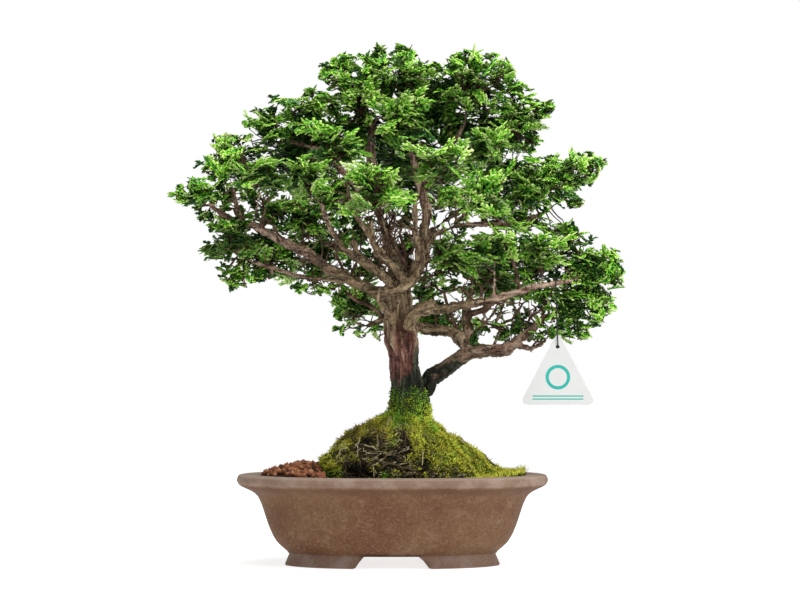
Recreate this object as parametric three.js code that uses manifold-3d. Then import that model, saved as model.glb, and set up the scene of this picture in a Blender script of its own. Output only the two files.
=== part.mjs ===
// Hinoki cypress bonsai (Chamaecyparis obtusa) on a mossy root mound in an oval unglazed pot.
// Millimetres, +Z up, the front of the tree faces -Y. The origin is under the middle of the whole bonsai.
import * as THREE from 'three';
import { mergeVertices } from 'three/addons/utils/BufferGeometryUtils.js';
import Module from 'manifold-3d';

const wasm = await Module();
wasm.setup();

// ---- Driving dimensions ------------------------------------------------------------------------------

const seat = 0.3;               // gap kept between pieces that touch
const weldDistance = 0.002;     // vertices closer than this are one
const shortestEdge = 0.05;      // slivers below this are removed after a join

// A bonsai is laid out for its front view. Places in the tree are given as they look from this viewing
// point, measured on the trunk's plane, and pushed along the line of sight to their depth (+ is back).
const viewDistance = 1950;
const viewHeight = 167;
const viewSide = 7.5;

const pot = {
  rimHalfLength: 154.5,
  lengthLessWidth: 38.5,        // half length minus half width, the same at every height
  fullness: 0.86,               // below 1 the oval is squarer than an ellipse
  sides: 28,
  recess: 12,                   // height of the underside inside the foot ring
  footInner: 92,
  footTaper: 4,                 // the foot ring is this much thicker at its root
  floorTop: 19,
  soilLevel: 84,
};
const footGap = { height: 11.5, topLength: 60, bottomLength: 72, topWidth: 44, bottomWidth: 52 };
const drain = { radius: 10, offset: 52, sides: 12 };
const screen = { side: 34, bar: 3, holes: 3, thickness: 1.6 };

const mound = { centreX: 15, base: 30, crown: 2, sides: 14, roughness: 0.018, waves: 6, twistPerRing: 0.9 };
const grain = {
  size: 4.8, count: 20, spread: 0.93, rings: 3, ringStep: 0.13, halfLength: 130, halfWidth: 92, lift: 0.1,
};

const twig = { tipRadius: 1.2, rootRadius: 2, sides: 3, tipGap: 0.8 };
const limbSides = { trunk: 8, thick: 5, thin: 4, thinBelow: 4, root: 4 };

const blade = { thickness: 1.1, clearance: 1.6 };

const tag = { height: 72, cornerRadius: 7, thickness: 1.2, holeRadius: 2, holeDrop: 15 };
const cord = {
  diameter: 1.2, sides: 8, steps: 26,
  drop: 58, drift: 2, standOff: 1.9,       // from the loop to the tag's hole: down, sideways, off its face
  loopRadius: 4.2, loopSag: 0.4, knotRadius: 2.3,
};

// ---- Colours -----------------------------------------------------------------------------------------

const finish = {
  stoneware: new THREE.MeshStandardMaterial({ color: 0x7a5e49, roughness: 0.8, metalness: 0 }),
  plasticMesh: new THREE.MeshStandardMaterial({ color: 0x20221f, roughness: 0.6, metalness: 0 }),
  akadama: new THREE.MeshStandardMaterial({ color: 0x8c5238, roughness: 1, metalness: 0 }),
  rootSoil: new THREE.MeshStandardMaterial({ color: 0x5c6128, roughness: 1, metalness: 0 }),
  bark: new THREE.MeshStandardMaterial({ color: 0x6e5848, roughness: 0.9, metalness: 0 }),
  foliage: new THREE.MeshStandardMaterial({ color: 0x4c8a2c, roughness: 0.6, metalness: 0 }),
  tagPlastic: new THREE.MeshStandardMaterial({ color: 0xf2f4f4, roughness: 0.4, metalness: 0 }),
  cordBlack: new THREE.MeshStandardMaterial({ color: 0x25221f, roughness: 0.6, metalness: 0 }),
};

// ---- Small tools -------------------------------------------------------------------------------------

// Seeded random numbers from 0 to 1 (mulberry32), so that the tree is the same every time
function seededRandom(seed) {
  let state = seed;
  return () => {
    state = (state + 0x6d2b79f5) | 0;
    let mixed = Math.imul(state ^ (state >>> 15), 1 | state);
    mixed = (mixed + Math.imul(mixed ^ (mixed >>> 7), 61 | mixed)) ^ mixed;
    return ((mixed ^ (mixed >>> 14)) >>> 0) / 2 ** 32;
  };
}

function seen(x, z, depth) {
  const spread = (viewDistance + depth) / viewDistance;
  const apart = (place, eye) => eye + (place - eye) * spread;
  return new THREE.Vector3(apart(x, viewSide), depth, apart(z, viewHeight));
}

// A closed geometry as a solid that can be joined and cut
function solid(geometry) {
  const bare = geometry.index ? geometry.toNonIndexed() : geometry.clone();
  bare.deleteAttribute('normal');
  bare.deleteAttribute('uv');
  const welded = mergeVertices(bare, weldDistance);
  const corners = welded.index.array;
  const triangles = [];
  for (let i = 0; i < corners.length; i += 3) {
    const [a, b, c] = corners.slice(i, i + 3);
    if (a !== b && b !== c && c !== a) triangles.push(a, b, c);
  }
  return new wasm.Manifold(new wasm.Mesh({
    numProp: 3,
    vertProperties: Float32Array.from(welded.attributes.position.array),
    triVerts: Uint32Array.from(triangles),
  }));
}

function union(solids) {
  return solids.reduce((whole, piece) => whole.add(piece));
}

// The largest body, without loose scraps and sealed hollows
function largest(body) {
  return body.simplify(shortestEdge).decompose().sort((a, b) => b.volume() - a.volume())[0];
}

function meshOf(name, body, material) {
  const { vertProperties, triVerts } = largest(body).getMesh();
  const geometry = new THREE.BufferGeometry();
  geometry.setAttribute('position', new THREE.BufferAttribute(vertProperties, 3));
  geometry.setIndex(new THREE.BufferAttribute(triVerts, 1));
  const flat = geometry.toNonIndexed();
  flat.computeVertexNormals();
  const mesh = new THREE.Mesh(flat, material);
  mesh.name = name;
  return mesh;
}

// Moves every vertex of a geometry by a rule
function reshape(geometry, rule) {
  const place = geometry.attributes.position;
  const point = new THREE.Vector3();
  for (let i = 0; i < place.count; i += 1) {
    rule(point.fromBufferAttribute(place, i));
    place.setXYZ(i, point.x, point.y, point.z);
  }
  return geometry;
}

function boxSolid(length, width, height, x, y, z) {
  return solid(new THREE.BoxGeometry(length, width, height).translate(x, y, z));
}

// ---- Pot ---------------------------------------------------------------------------------------------

// A turned profile of [half length, height] made oval: all rings differ as much in length and width
function ovalSolid(profile, sides = pot.sides) {
  const points = profile.map(([halfLength, height]) => new THREE.Vector2(halfLength, height));
  const turned = new THREE.LatheGeometry(points, sides);
  return solid(reshape(turned, (point) => {
    const halfLength = Math.hypot(point.x, point.z);
    const halfWidth = Math.max(0, halfLength - pot.lengthLessWidth);
    const along = halfLength ? point.x / halfLength : 0;
    const across = halfLength ? -point.z / halfLength : 0;
    const height = point.y;
    point.x = halfLength * Math.sign(along) * Math.abs(along) ** pot.fullness;
    point.y = halfWidth * Math.sign(across) * Math.abs(across) ** pot.fullness;
    point.z = height;
  }));
}

const potOutside = [
  [107.8, 0], [104.7, 12], [115.5, 23], [123, 38], [130.6, 60], [137, 70], [151, 77.5], [154.5, 81.5],
  [pot.rimHalfLength, 84.5], [151, 88],
];
const potInside = [[134, 88], [130.5, 85.5], [120.5, 60], [112, 33], [97, pot.floorTop]];

// A wedge as long as the pot that leaves a gap in the foot ring, wider at the bottom
function footCut(topLength, bottomLength, reach, turn) {
  const outline = new THREE.Shape([
    new THREE.Vector2(-bottomLength / 2, -1),
    new THREE.Vector2(bottomLength / 2, -1),
    new THREE.Vector2(topLength / 2, footGap.height),
    new THREE.Vector2(-topLength / 2, footGap.height),
  ]);
  const wedge = new THREE.ExtrudeGeometry(outline, { depth: 2 * reach, bevelEnabled: false });
  return solid(wedge.translate(0, 0, -reach).rotateX(Math.PI / 2).rotateZ(turn));
}

function drainCut(x) {
  const bore = new THREE.CylinderGeometry(drain.radius, drain.radius, 2 * pot.floorTop, drain.sides);
  return solid(bore.rotateX(Math.PI / 2).translate(x, 0, pot.floorTop));
}

function makePot() {
  const ring = [[0, pot.recess], [pot.footInner - pot.footTaper, pot.recess], [pot.footInner, 0]];
  const body = ovalSolid([...ring, ...potOutside, ...potInside, [0, pot.floorTop]]);
  return body
    .subtract(footCut(footGap.topLength, footGap.bottomLength, pot.rimHalfLength, 0))
    .subtract(footCut(footGap.topWidth, footGap.bottomWidth, pot.rimHalfLength, Math.PI / 2))
    .subtract(drainCut(drain.offset))
    .subtract(drainCut(-drain.offset));
}

// A square of plastic mesh lying over a drainage hole
function makeScreen(x) {
  const middle = pot.floorTop + seat + screen.thickness / 2;
  const pitch = (screen.side - screen.bar) / screen.holes;
  let sheet = boxSolid(screen.side, screen.side, screen.thickness, x, 0, middle);
  for (let cell = 0; cell < screen.holes ** 2; cell += 1) {
    const column = (cell % screen.holes) - (screen.holes - 1) / 2;
    const row = Math.floor(cell / screen.holes) - (screen.holes - 1) / 2;
    const hole = boxSolid(pitch - screen.bar, pitch - screen.bar, 2 * screen.thickness, 0, 0, middle);
    sheet = sheet.subtract(hole.translate(x + column * pitch, row * pitch, 0));
  }
  return sheet;
}

// ---- Soil and root mound -----------------------------------------------------------------------------

// Rings of the mound from the bottom up: height, reach to the left, to the right and to the front and back
const moundRings = [
  [mound.base, 62, 70, 48], [pot.soilLevel - 6, 84, 100, 70], [91, 86, 97, 76], [103, 85, 81, 70],
  [118, 72, 66, 58], [131, 57, 41, 43], [140, 49, 30, 34], [151, 22, 24, 23],
];

function makeMound() {
  const profile = moundRings.map(([height], ring) => new THREE.Vector2(1 + ring, height));
  const top = moundRings.at(-1)[0] + mound.crown;
  const ends = [new THREE.Vector2(0, mound.base), ...profile, new THREE.Vector2(0, top)];
  const random = seededRandom(11);
  const wave = (_, i) => ({ waves: 3 + 2 * i, turn: random() * 2 * Math.PI });
  const bumps = Array.from({ length: mound.waves }, wave);
  return solid(reshape(new THREE.LatheGeometry(ends, mound.sides), (point) => {
    const ring = Math.round(Math.hypot(point.x, point.z)) - 1;
    const angle = Math.atan2(-point.z, point.x);
    const height = point.y;
    if (ring < 0) {
      point.set(mound.centreX, 0, height);
      return;
    }
    const [, left, right, side] = moundRings[ring];
    const along = Math.cos(angle) > 0 ? right : left;
    const reach = (along * side) / Math.hypot(side * Math.cos(angle), along * Math.sin(angle));
    const twist = ring * mound.twistPerRing;
    const bump = bumps.reduce((sum, { waves, turn }) => sum + Math.sin(waves * angle + turn + twist), 0);
    const rough = reach * (1 + mound.roughness * bump);
    point.set(mound.centreX + rough * Math.cos(angle), rough * Math.sin(angle), height);
  }));
}

// The soil fills the pot to the flange and is heaped up against the mound, most of all at the left
const soilFlat = 96;
const heaps = [
  { height: 17, middle: -84, length: 38, width: 60 },
  { height: 7, middle: 114, length: 26, width: 50 },
];

function soilHeight(x, y) {
  const rise = ({ height, middle, length, width }) => (
    height * Math.exp(-(((x - middle) / length) ** 2) - (y / width) ** 2));
  return pot.soilLevel + heaps.reduce((sum, heap) => sum + rise(heap), 0);
}

// The soil follows the pot's inner wall. Its grains lie on a walk of a few rounds, half sunk in it.
function makeSoil(moundClear, screensClear) {
  const wall = potInside.slice(1).reverse().map(([halfLength, height]) => [halfLength - seat, height]);
  const [[lowHalf, low], [highHalf, high]] = wall.slice(-2);
  const brim = [lowHalf + ((highHalf - lowHalf) * (pot.soilLevel - low)) / (high - low), pot.soilLevel];
  const bottom = pot.floorTop + seat;
  const bed = ovalSolid([
    [0, bottom], [wall[0][0], bottom], ...wall.slice(1, -1), brim, [soilFlat, pot.soilLevel],
    [0, pot.soilLevel],
  ]);
  const heaped = bed.warp((point) => {
    if (point[2] > pot.soilLevel - 0.5) point[2] = soilHeight(point[0], point[1]);
  });
  const random = seededRandom(5);
  const grains = Array.from({ length: grain.count }, (_, i) => {
    const turn = (i / grain.count) * 2 * Math.PI * grain.rings + random();
    const reach = grain.spread - (i % grain.rings) * grain.ringStep - 0.05 * random();
    const x = grain.halfLength * reach * Math.cos(turn);
    const y = grain.halfWidth * reach * Math.sin(turn);
    const size = grain.size * (0.8 + 0.5 * random());
    const stone = new THREE.OctahedronGeometry(size).rotateX(random() * 3).rotateZ(random() * 3);
    return solid(stone.translate(x, y, soilHeight(x, y) + grain.lift * size));
  });
  return union([heaped, ...grains]).subtract(moundClear).subtract(screensClear);
}

// ---- Wood --------------------------------------------------------------------------------------------

function stationsOf(rows) {
  return rows.map(([x, z, depth, radius]) => [seen(x, z, depth), radius]);
}

function curveThrough(stations) {
  return new THREE.CatmullRomCurve3(stations.map(([place]) => place), false, 'centripetal');
}

// A limb is a many-sided rod bent along a smooth curve through its stations, each a place and a radius.
// With extra it is that much fatter and longer: the room that other pieces leave for it.
function limb(stations, sides, extra, wobble = 0.1) {
  const curve = curveThrough(stations);
  const steps = stations.length - 1;
  const rod = new THREE.CylinderGeometry(1, 1, steps, sides, steps);
  const random = seededRandom(stations.length * 97 + Math.round(Math.abs(stations[0][0].x) * 13));
  const uneven = Array.from({ length: (steps + 1) * sides }, () => 1 + wobble * (random() - 0.5) * 2);
  const frames = [];
  let side = new THREE.Vector3(1, 0.3, 0.1);
  for (let step = 0; step <= steps; step += 1) {
    const tangent = curve.getTangent(step / steps);
    side = side.clone().addScaledVector(tangent, -side.dot(tangent)).normalize();
    frames.push({ tangent, side, up: tangent.clone().cross(side) });
  }
  return solid(reshape(rod, (point) => {
    const step = Math.round(point.y + steps / 2);
    const { tangent, side: across, up } = frames[step];
    const turn = Math.atan2(point.z, point.x);
    const around = ((Math.round((turn / (2 * Math.PI)) * sides) % sides) + sides) % sides;
    const onAxis = Math.hypot(point.x, point.z) < 0.5;
    const radius = onAxis ? 0 : (stations[step][1] + extra) * uneven[step * sides + around];
    const end = step === 0 ? -extra : step === steps ? extra : 0;
    point.copy(curve.getPoint(step / steps)).addScaledVector(tangent, end);
    point.addScaledVector(across, radius * Math.cos(turn)).addScaledVector(up, -radius * Math.sin(turn));
  }));
}

const trunk = [
  [18, 100, 0, 27], [18, 128, 0, 30], [18.5, 147, 0, 24.5], [16, 158, 0, 20], [12.5, 173, 0, 16.6],
  [10, 196, 0, 15.8], [9.5, 219, 0, 15.8], [6, 240, 0, 16.8], [3, 256, 0, 15.4], [5, 275, 0, 13.4],
];

const limbs = {
  leader: [
    [5, 270, 1, 12], [3, 294, 4, 11], [-6, 322, 12, 8.5], [-14, 352, 20, 7.2],
    [-19, 382, 24, 6], [-22, 412, 22, 4.8], [-20, 440, 15, 3.4],
  ],
  leftLow: [
    [6, 272, -2, 8], [-16, 270, -8, 6.2], [-41, 281, -14, 5.6], [-65, 294, -16, 5.3],
    [-83, 308, -16, 5], [-113, 322, -14, 4.6], [-139, 337, -10, 4.1],
    [-152, 339, -8, 3.6], [-166, 345, -8, 3], [-184, 358, -8, 2.4],
  ],
  leftLowFork: [[-148, 338, -8, 3], [-157, 357, -6, 2.7], [-160, 373, -4, 2.2]],
  leftUnder: [
    [-38, 280, -12, 3.6], [-61, 282, -6, 3.1], [-92, 285, -4, 2.8],
    [-120, 294, -4, 2.5], [-138, 300, -4, 2.1],
  ],
  leftDark: [[-62, 293, -10, 3], [-80, 301, 14, 2.8], [-98, 304, 32, 2.4]],
  leftRise: [
    [2, 274, -6, 4.2], [-13, 286, -18, 3.6], [-36, 304, -30, 3.3], [-49, 313, -36, 3.1],
    [-56, 324, -40, 2.7], [-64, 337, -42, 2.2], [-71, 357, -48, 1.9],
  ],
  frontRise: [
    [10, 272, -6, 4.6], [8, 285, -16, 3.9], [-2, 299, -28, 3.5], [-15, 308, -40, 3.3],
    [-22, 325, -52, 3], [-29, 336, -60, 2.6], [-41, 352, -66, 2.2], [-44, 372, -66, 2],
  ],
  frontFork: [[-20, 322, -50, 2.6], [-22, 343, -62, 2.3]],
  frontRight: [
    [8, 272, -6, 5], [21, 289, -20, 3.6], [26, 305, -32, 3.3], [23, 337, -50, 2.9], [22, 362, -62, 2.4],
  ],
  rightRise: [
    [4, 268, 4, 8], [19, 290, 6, 7.2], [33, 304, 8, 6.5], [30, 322, 4, 6.1],
    [35, 348, 0, 5.2], [29, 372, 0, 4.4], [24, 392, 0, 3.6], [16, 420, -8, 2.8],
  ],
  rightCrown: [[29, 374, 0, 4], [37, 388, 2, 3.5], [56, 411, 6, 2.9], [73, 440, 6, 2.3]],
  rightCrownOut: [[52, 406, 5, 2.8], [78, 420, 0, 2.5], [98, 426, -2, 2.1]],
  rightMid: [
    [31, 312, 4, 4.4], [44, 329, 4, 3.3], [63, 336, 6, 2.9], [88, 338.5, 8, 2.7],
    [114, 338, 12, 2.5], [137, 343, 14, 2.3], [156, 352, 12, 2.1],
  ],
  rightMidUp: [[60, 335, 6, 2.7], [76, 353, -18, 2.3]],
  rightLow: [
    [9, 238, -4, 6], [28, 250, -17, 4.9], [56, 254, -26, 4.6], [78, 259, -30, 4.3],
    [101, 262, -32, 4], [124, 270, -34, 3.4], [150, 277, -36, 2.9], [180, 281, -32, 2.3],
  ],
  rightFoot: [
    [14, 156, 8, 8.5], [33, 182, 13, 7.6], [47, 193, 14, 7.2], [62, 204, 14, 7], [78, 213, 14, 6.9],
    [91, 213, 12, 6], [108, 211.5, 10, 5.4], [121, 218, 8, 4.8], [139, 232, 5, 4.3], [154, 247, 2, 3.4],
  ],
  rightFootTwig: [[122, 218, 8, 3], [138, 213, 10, 2.5], [152, 219, 12, 1.8]],
  riser: [[76, 215, 14, 5], [75, 236, 20, 4.3], [74, 250, 31, 3.9], [80, 276, 42, 3]],
  backTwig: [[73, 218, 15, 4], [59, 229, 24, 3.6], [46, 236, 38, 3]],
  backLeft: [[2, 282, 8, 5.5], [-30, 300, 40, 4.4], [-70, 322, 72, 3.5], [-100, 350, 80, 2.7]],
  backMiddle: [[-7, 322, 12, 5], [0, 348, 48, 3.6]],
  backRight: [[31, 326, 6, 4.6], [58, 345, 44, 3.6], [82, 360, 58, 2.8]],
  backLow: [[9, 250, 8, 5], [40, 258, 44, 3.6]],
  backUnder: [[-4, 245, 8, 4], [-24, 236, 34, 3]],
  shoulder: [[-13, 350, 19, 4.6], [-44, 386, 10, 3.5], [-74, 415, 5, 2.6]],
  shoulderOut: [[-72, 413, 5, 2.6], [-104, 422, 2, 2.1]],
};

// Roots that lie half sunk along the mound, from under the trunk outwards
const roots = [
  [[14, 148, -12, 7], [-2, 141, -26, 5], [-14, 129, -41, 4.2], [-22, 116, -54, 3.4], [-34, 104, -63, 2.2]],
  [[20, 148, -12, 7], [24, 138, -30, 5], [22, 124, -47, 4], [27, 110, -60, 3.2], [24, 98, -69, 2.2]],
  [[8, 150, -4, 6], [-12, 144, -12, 4.4], [-32, 138, -18, 3.6], [-47, 122, -26, 3], [-60, 108, -34, 2]],
  [[26, 148, -8, 7], [42, 140, -18, 4.6], [58, 127, -32, 3.6], [72, 113, -42, 2.8], [84, 101, -48, 2]],
  [[10, 148, 12, 7], [-8, 141, 27, 4.8], [-24, 128, 42, 3.8], [-38, 112, 54, 2.6]],
  [[26, 148, 10, 7], [40, 138, 26, 4.8], [52, 126, 40, 3.6], [66, 110, 50, 2.4]],
];

// ---- Foliage -----------------------------------------------------------------------------------------

// Sprays of foliage: middle as seen from the front [x, z], depth, and half sizes along X, Y and Z
const sprays = {
  crown_left: [-27, 473, 0, 49, 42, 29],
  crown_top: [18, 484, 8, 40, 38, 27],
  crown_front: [12, 442, -60, 47, 37, 30],
  crown_right: [76, 475, 5, 48, 42, 31],
  crown_right_outer: [124, 443, 2, 38, 40, 29],
  crown_right_low: [100, 416, -54, 44, 37, 25],
  crown_back: [46, 456, 78, 54, 38, 36],
  shoulder: [-90, 446, 5, 45, 40, 26],
  shoulder_outer: [-130, 432, 0, 34, 34, 22],
  left_front: [-60, 414, -60, 46, 38, 27],
  left_outer_high: [-163, 404, 0, 29, 33, 24],
  left_middle: [-132, 388, -38, 46, 37, 22],
  left_tip: [-197, 368, -8, 28, 30, 20],
  left_inner: [-84, 386, -80, 38, 34, 24],
  left_back: [-90, 418, 82, 62, 40, 38],
  middle_front: [-16, 374, -98, 49, 37, 29],
  right_front: [48, 398, -100, 50, 37, 30],
  right_front_low: [92, 370, -74, 43, 38, 31],
  middle_back: [8, 392, 108, 58, 38, 38],
  right_back: [108, 398, 90, 50, 40, 36],
  right_high: [140, 372, 14, 36, 38, 28],
  right_high_outer: [178, 387, -8, 34, 34, 25],
  left_low_outer: [-160, 322, -4, 38, 37, 26],
  left_low: [-122, 290, 30, 40, 32, 18],
  left_between: [-88, 342, 24, 46, 38, 24],
  left_low_back: [-74, 294, 90, 48, 38, 29],
  low_back_left: [-42, 252, 76, 34, 32, 24],
  right_low_inner: [62, 306, 26, 38, 34, 21],
  right_low_middle: [102, 312, -32, 38, 36, 23],
  right_low_outer: [150, 311, -14, 38, 37, 27],
  right_low_end: [194, 304, 2, 37, 37, 28],
  right_low_hang: [203, 272, 18, 25, 31, 28],
  right_low_under: [178, 252, 14, 33, 31, 22],
  right_low_back: [98, 284, 88, 56, 38, 33],
  low_back: [38, 250, 76, 34, 32, 24],
};
// A spray is a small heart with two tiers of fans, thin at their rims: a wide tier that arches down and a
// smaller one held up. leaflets is the reach of one fan's edge point by point, from the cut between two fans
// over its leaflets. middle is the tier's height at the axis and lift its rise at full reach. All of them
// are shares of the spray's half sizes.
const tierPoints = 24;
const lowerTier = { leaflets: [0.36, 0.88, 0.62, 1], spread: 1.25, middle: 0.05, lift: -0.62 };
const upperTier = { leaflets: [0.42, 1, 0.64, 0.86], spread: 1, middle: 0.28, lift: 0.7 };
const heart = { bottom: -0.3, waist: 0.3, waistHeight: 0.12, top: 0.42 };
const unevenness = 0.12;
const fanSwing = 0.5;
const leanOfSpray = 0.35;

// Distance from the middle of an egg-shaped spray to its surface along a direction
function reachAlong(direction, halfSizes) {
  return 1 / Math.hypot(direction.x / halfSizes.x, direction.y / halfSizes.y, direction.z / halfSizes.z);
}

const sprayPlaces = Object.entries(sprays).map(([name, [x, z, depth, ...sizes]]) => (
  { name, middle: seen(x, z, depth), halfSizes: new THREE.Vector3(...sizes) }));

// Neighbouring sprays share the space between them: each keeps to its side of the planes between the middles
function roomOf(spray) {
  return sprayPlaces.filter((other) => other !== spray).map((other) => {
    const towards = other.middle.clone().sub(spray.middle);
    const distance = towards.length();
    towards.normalize();
    const mine = reachAlong(towards, spray.halfSizes);
    const share = mine / (mine + reachAlong(towards, other.halfSizes));
    return { towards, limit: distance * share - blade.clearance };
  });
}

// Draws an offset from the middle of a spray in until it is inside the spray's room
function keepInside(offset, room) {
  const shrink = room.reduce((least, { towards, limit }) => {
    const out = offset.dot(towards);
    return out > limit ? Math.min(least, limit / out) : least;
  }, 1);
  return offset.multiplyScalar(shrink);
}

// The whole spray is one turned form whose rings are pulled out to the fans' edges
function makeSpray(spray, seed) {
  const room = roomOf(spray);
  const random = seededRandom(seed);
  const start = random() * 2 * Math.PI;
  const lean = new THREE.Euler(leanOfSpray * (random() - 0.5), leanOfSpray * (random() - 0.5), 0);
  const swing = Array.from({ length: tierPoints }, () => 1 + fanSwing * (2 * random() - 1));
  const edgeOf = ({ leaflets, spread, middle, lift }, face) => Array.from({ length: tierPoints }, (_, i) => {
    const reach = leaflets[i % leaflets.length] * spread;
    const fanLift = lift * swing[Math.floor(i / leaflets.length)];
    return { reach, height: middle + fanLift * reach ** 2, face: (face * blade.thickness) / 2 };
  });
  const waist = Array(tierPoints).fill({ reach: heart.waist, height: heart.waistHeight, face: 0 });
  const edges = [lowerTier, upperTier].map((tier) => [edgeOf(tier, -1), edgeOf(tier, 1)]);
  const rings = [...edges[0], waist, ...edges[1]];
  const uneven = Array.from({ length: 2 * tierPoints }, () => 1 + unevenness * (2 * random() - 1));
  const profile = [[0, 0], ...rings.map((_, ring) => [1 + ring, 0]), [0, 1]];
  const turned = new THREE.LatheGeometry(profile.map((place) => new THREE.Vector2(...place)), tierPoints);
  return solid(reshape(turned, (point) => {
    const ring = Math.round(Math.hypot(point.x, point.z)) - 1;
    if (ring < 0) {
      point.set(0, 0, point.y < 0.5 ? heart.bottom : heart.top).multiply(spray.halfSizes);
      keepInside(point, room).add(spray.middle);
      return;
    }
    const turn = Math.atan2(point.z, point.x);
    const rimPoint = (Math.round((turn / (2 * Math.PI)) * tierPoints) + tierPoints) % tierPoints;
    const { reach, height, face } = rings[ring][rimPoint];
    const out = face ? reach * uneven[rimPoint + (ring > 2 ? tierPoints : 0)] : reach;
    point.set(out * Math.cos(start + turn), -out * Math.sin(start + turn), height);
    point.multiply(spray.halfSizes).applyEuler(lean);
    keepInside(point, room).add(spray.middle);
    point.z += face;
  }));
}

// ---- Twigs from the limbs into the sprays ------------------------------------------------------------

// Each twig leaves the nearest limb that is not further out or higher than the spray itself
function twigStations({ middle, halfSizes }, index) {
  const outwards = (place) => Math.hypot(place.x, place.y);
  let best = null;
  for (const stations of Object.values(limbs)) {
    for (const [x, z, depth, radius] of stations.slice(1)) {
      const place = seen(x, z, depth);
      const higher = Math.max(0, place.z - middle.z + 6);
      const further = Math.max(0, outwards(place) - outwards(middle));
      const cost = place.distanceTo(middle) + 0.8 * higher + 0.8 * further;
      if (!best || cost < best.cost) best = { cost, place, radius };
    }
  }
  const random = seededRandom(500 + index);
  const span = best.place.distanceTo(middle);
  const sway = 0.06 * span;
  const bend = best.place.clone().lerp(middle, 0.55);
  bend.add(new THREE.Vector3(sway * (random() - 0.5), sway * (random() - 0.5), -0.3 * halfSizes.z));
  const rootRadius = Math.min(best.radius, twig.rootRadius);
  const tip = middle.clone();
  tip.z += heart.bottom * halfSizes.z - twig.tipGap;
  return [[best.place, rootRadius], [bend, 0.8 * rootRadius], [tip, twig.tipRadius]];
}

// ---- Hang tag and its cord ---------------------------------------------------------------------------

// The cord is looped round a limb and hangs down in front of the tag, into the hole near the tag's corner.
// The loop's place along the limb is counted in the limb's stations.
const loopStation = 6.45;
const tagLimb = curveThrough(stationsOf(limbs.rightLow));
const loopMiddle = tagLimb.getPoint(loopStation / (limbs.rightLow.length - 1));
loopMiddle.z -= cord.loopSag;
const cordTop = loopMiddle.clone().add(new THREE.Vector3(0, 0, -cord.loopRadius));
const tagHole = cordTop.clone().add(new THREE.Vector3(cord.drift, cord.standOff, -cord.drop));

function makeTag() {
  const topY = tag.holeDrop;
  const bottomY = topY - tag.height;
  const halfBase = tag.height / 2;
  const r = tag.cornerRadius;
  const outline = new THREE.Shape();
  outline.moveTo(-halfBase + r, bottomY);
  outline.lineTo(halfBase - r, bottomY);
  outline.quadraticCurveTo(halfBase + 1, bottomY, halfBase - 0.35 * r, bottomY + 1.1 * r);
  outline.lineTo(0.45 * r, topY - 0.9 * r);
  outline.quadraticCurveTo(0, topY, -0.45 * r, topY - 0.9 * r);
  outline.lineTo(-halfBase + 0.35 * r, bottomY + 1.1 * r);
  outline.quadraticCurveTo(-halfBase - 1, bottomY, -halfBase + r, bottomY);
  outline.holes.push(new THREE.Path().absarc(0, 0, tag.holeRadius, 0, 2 * Math.PI, true));
  const settings = { depth: tag.thickness, bevelEnabled: false, curveSegments: 5 };
  const plate = new THREE.ExtrudeGeometry(outline, settings);
  return solid(plate.translate(0, 0, -tag.thickness / 2).rotateX(Math.PI / 2).translate(...tagHole));
}

// Offsets from the tag's hole
const hanging = (share) => [-cord.drift * share, -cord.standOff, cord.drop * share];
const cordRoute = [
  ...[1, 0.86, 0.6, 0.34, 0.1].map(hanging),
  [0, -1.7, 1.8], [0, -1.1, 0.5], [0, 0, 0.1], [0, 3, 0],
].map(([x, y, z]) => tagHole.clone().add(new THREE.Vector3(x, y, z)));

function makeCord() {
  const radius = cord.diameter / 2;
  const section = new THREE.Shape().absarc(0, 0, radius, 0, 2 * Math.PI);
  const curve = new THREE.CatmullRomCurve3(cordRoute, false, 'centripetal');
  const strand = new THREE.ExtrudeGeometry(section, {
    extrudePath: curve, steps: cord.steps, curveSegments: cord.sides / 2, bevelEnabled: false,
  });
  const ring = new THREE.TorusGeometry(cord.loopRadius, radius, 5, 12).rotateY(Math.PI / 2);
  const loop = ring.translate(...loopMiddle);
  const knot = new THREE.IcosahedronGeometry(cord.knotRadius, 0).translate(...cordRoute.at(-1));
  return union([strand, loop, knot].map(solid));
}

// ---- Assembly ----------------------------------------------------------------------------------------

const bonsai = new THREE.Group();

const sidesOf = ([[, , , radius]]) => (radius < limbSides.thinBelow ? limbSides.thin : limbSides.thick);
const twigs = sprayPlaces.map(twigStations);
const woodOf = (extra) => [
  limb(stationsOf(trunk), limbSides.trunk, extra, 0.06),
  ...Object.values(limbs).map((rows) => limb(stationsOf(rows), sidesOf(rows), extra)),
  ...roots.map((rows) => limb(stationsOf(rows), limbSides.root, extra)),
  ...twigs.map((stations) => limb(stations, twig.sides, extra)),
];
const wood = union(woodOf(0));
const woodRoom = woodOf(seat);

const spansMeet = (a, b, axis) => a.min[axis] < b.max[axis] && b.min[axis] < a.max[axis];
const boxesMeet = (a, b) => [0, 1, 2].every((axis) => spansMeet(a, b, axis));
const cutByWood = (body) => {
  const box = body.boundingBox();
  const near = woodRoom.filter((piece) => boxesMeet(box, piece.boundingBox()));
  return near.reduce((rest, piece) => rest.subtract(piece), body);
};

const potSolid = makePot();
const screens = [makeScreen(-drain.offset), makeScreen(drain.offset)];
const moundSolid = makeMound();
const moundRoom = moundSolid.warp((point) => {
  const out = Math.hypot(point[0] - mound.centreX, point[1]) || 1;
  point[0] += ((point[0] - mound.centreX) / out) * 2 * seat;
  point[1] += (point[1] / out) * 2 * seat;
  point[2] -= point[2] < mound.base + 1 ? seat : 0;
});
const screenRoomSide = screen.side + 2 * seat;
const screenRoomTop = pot.floorTop + screen.thickness + 2 * seat;
const screenRoom = union([-drain.offset, drain.offset].map((x) => boxSolid(
  screenRoomSide, screenRoomSide, 2 * screen.thickness, x, 0, screenRoomTop - screen.thickness)));

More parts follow.
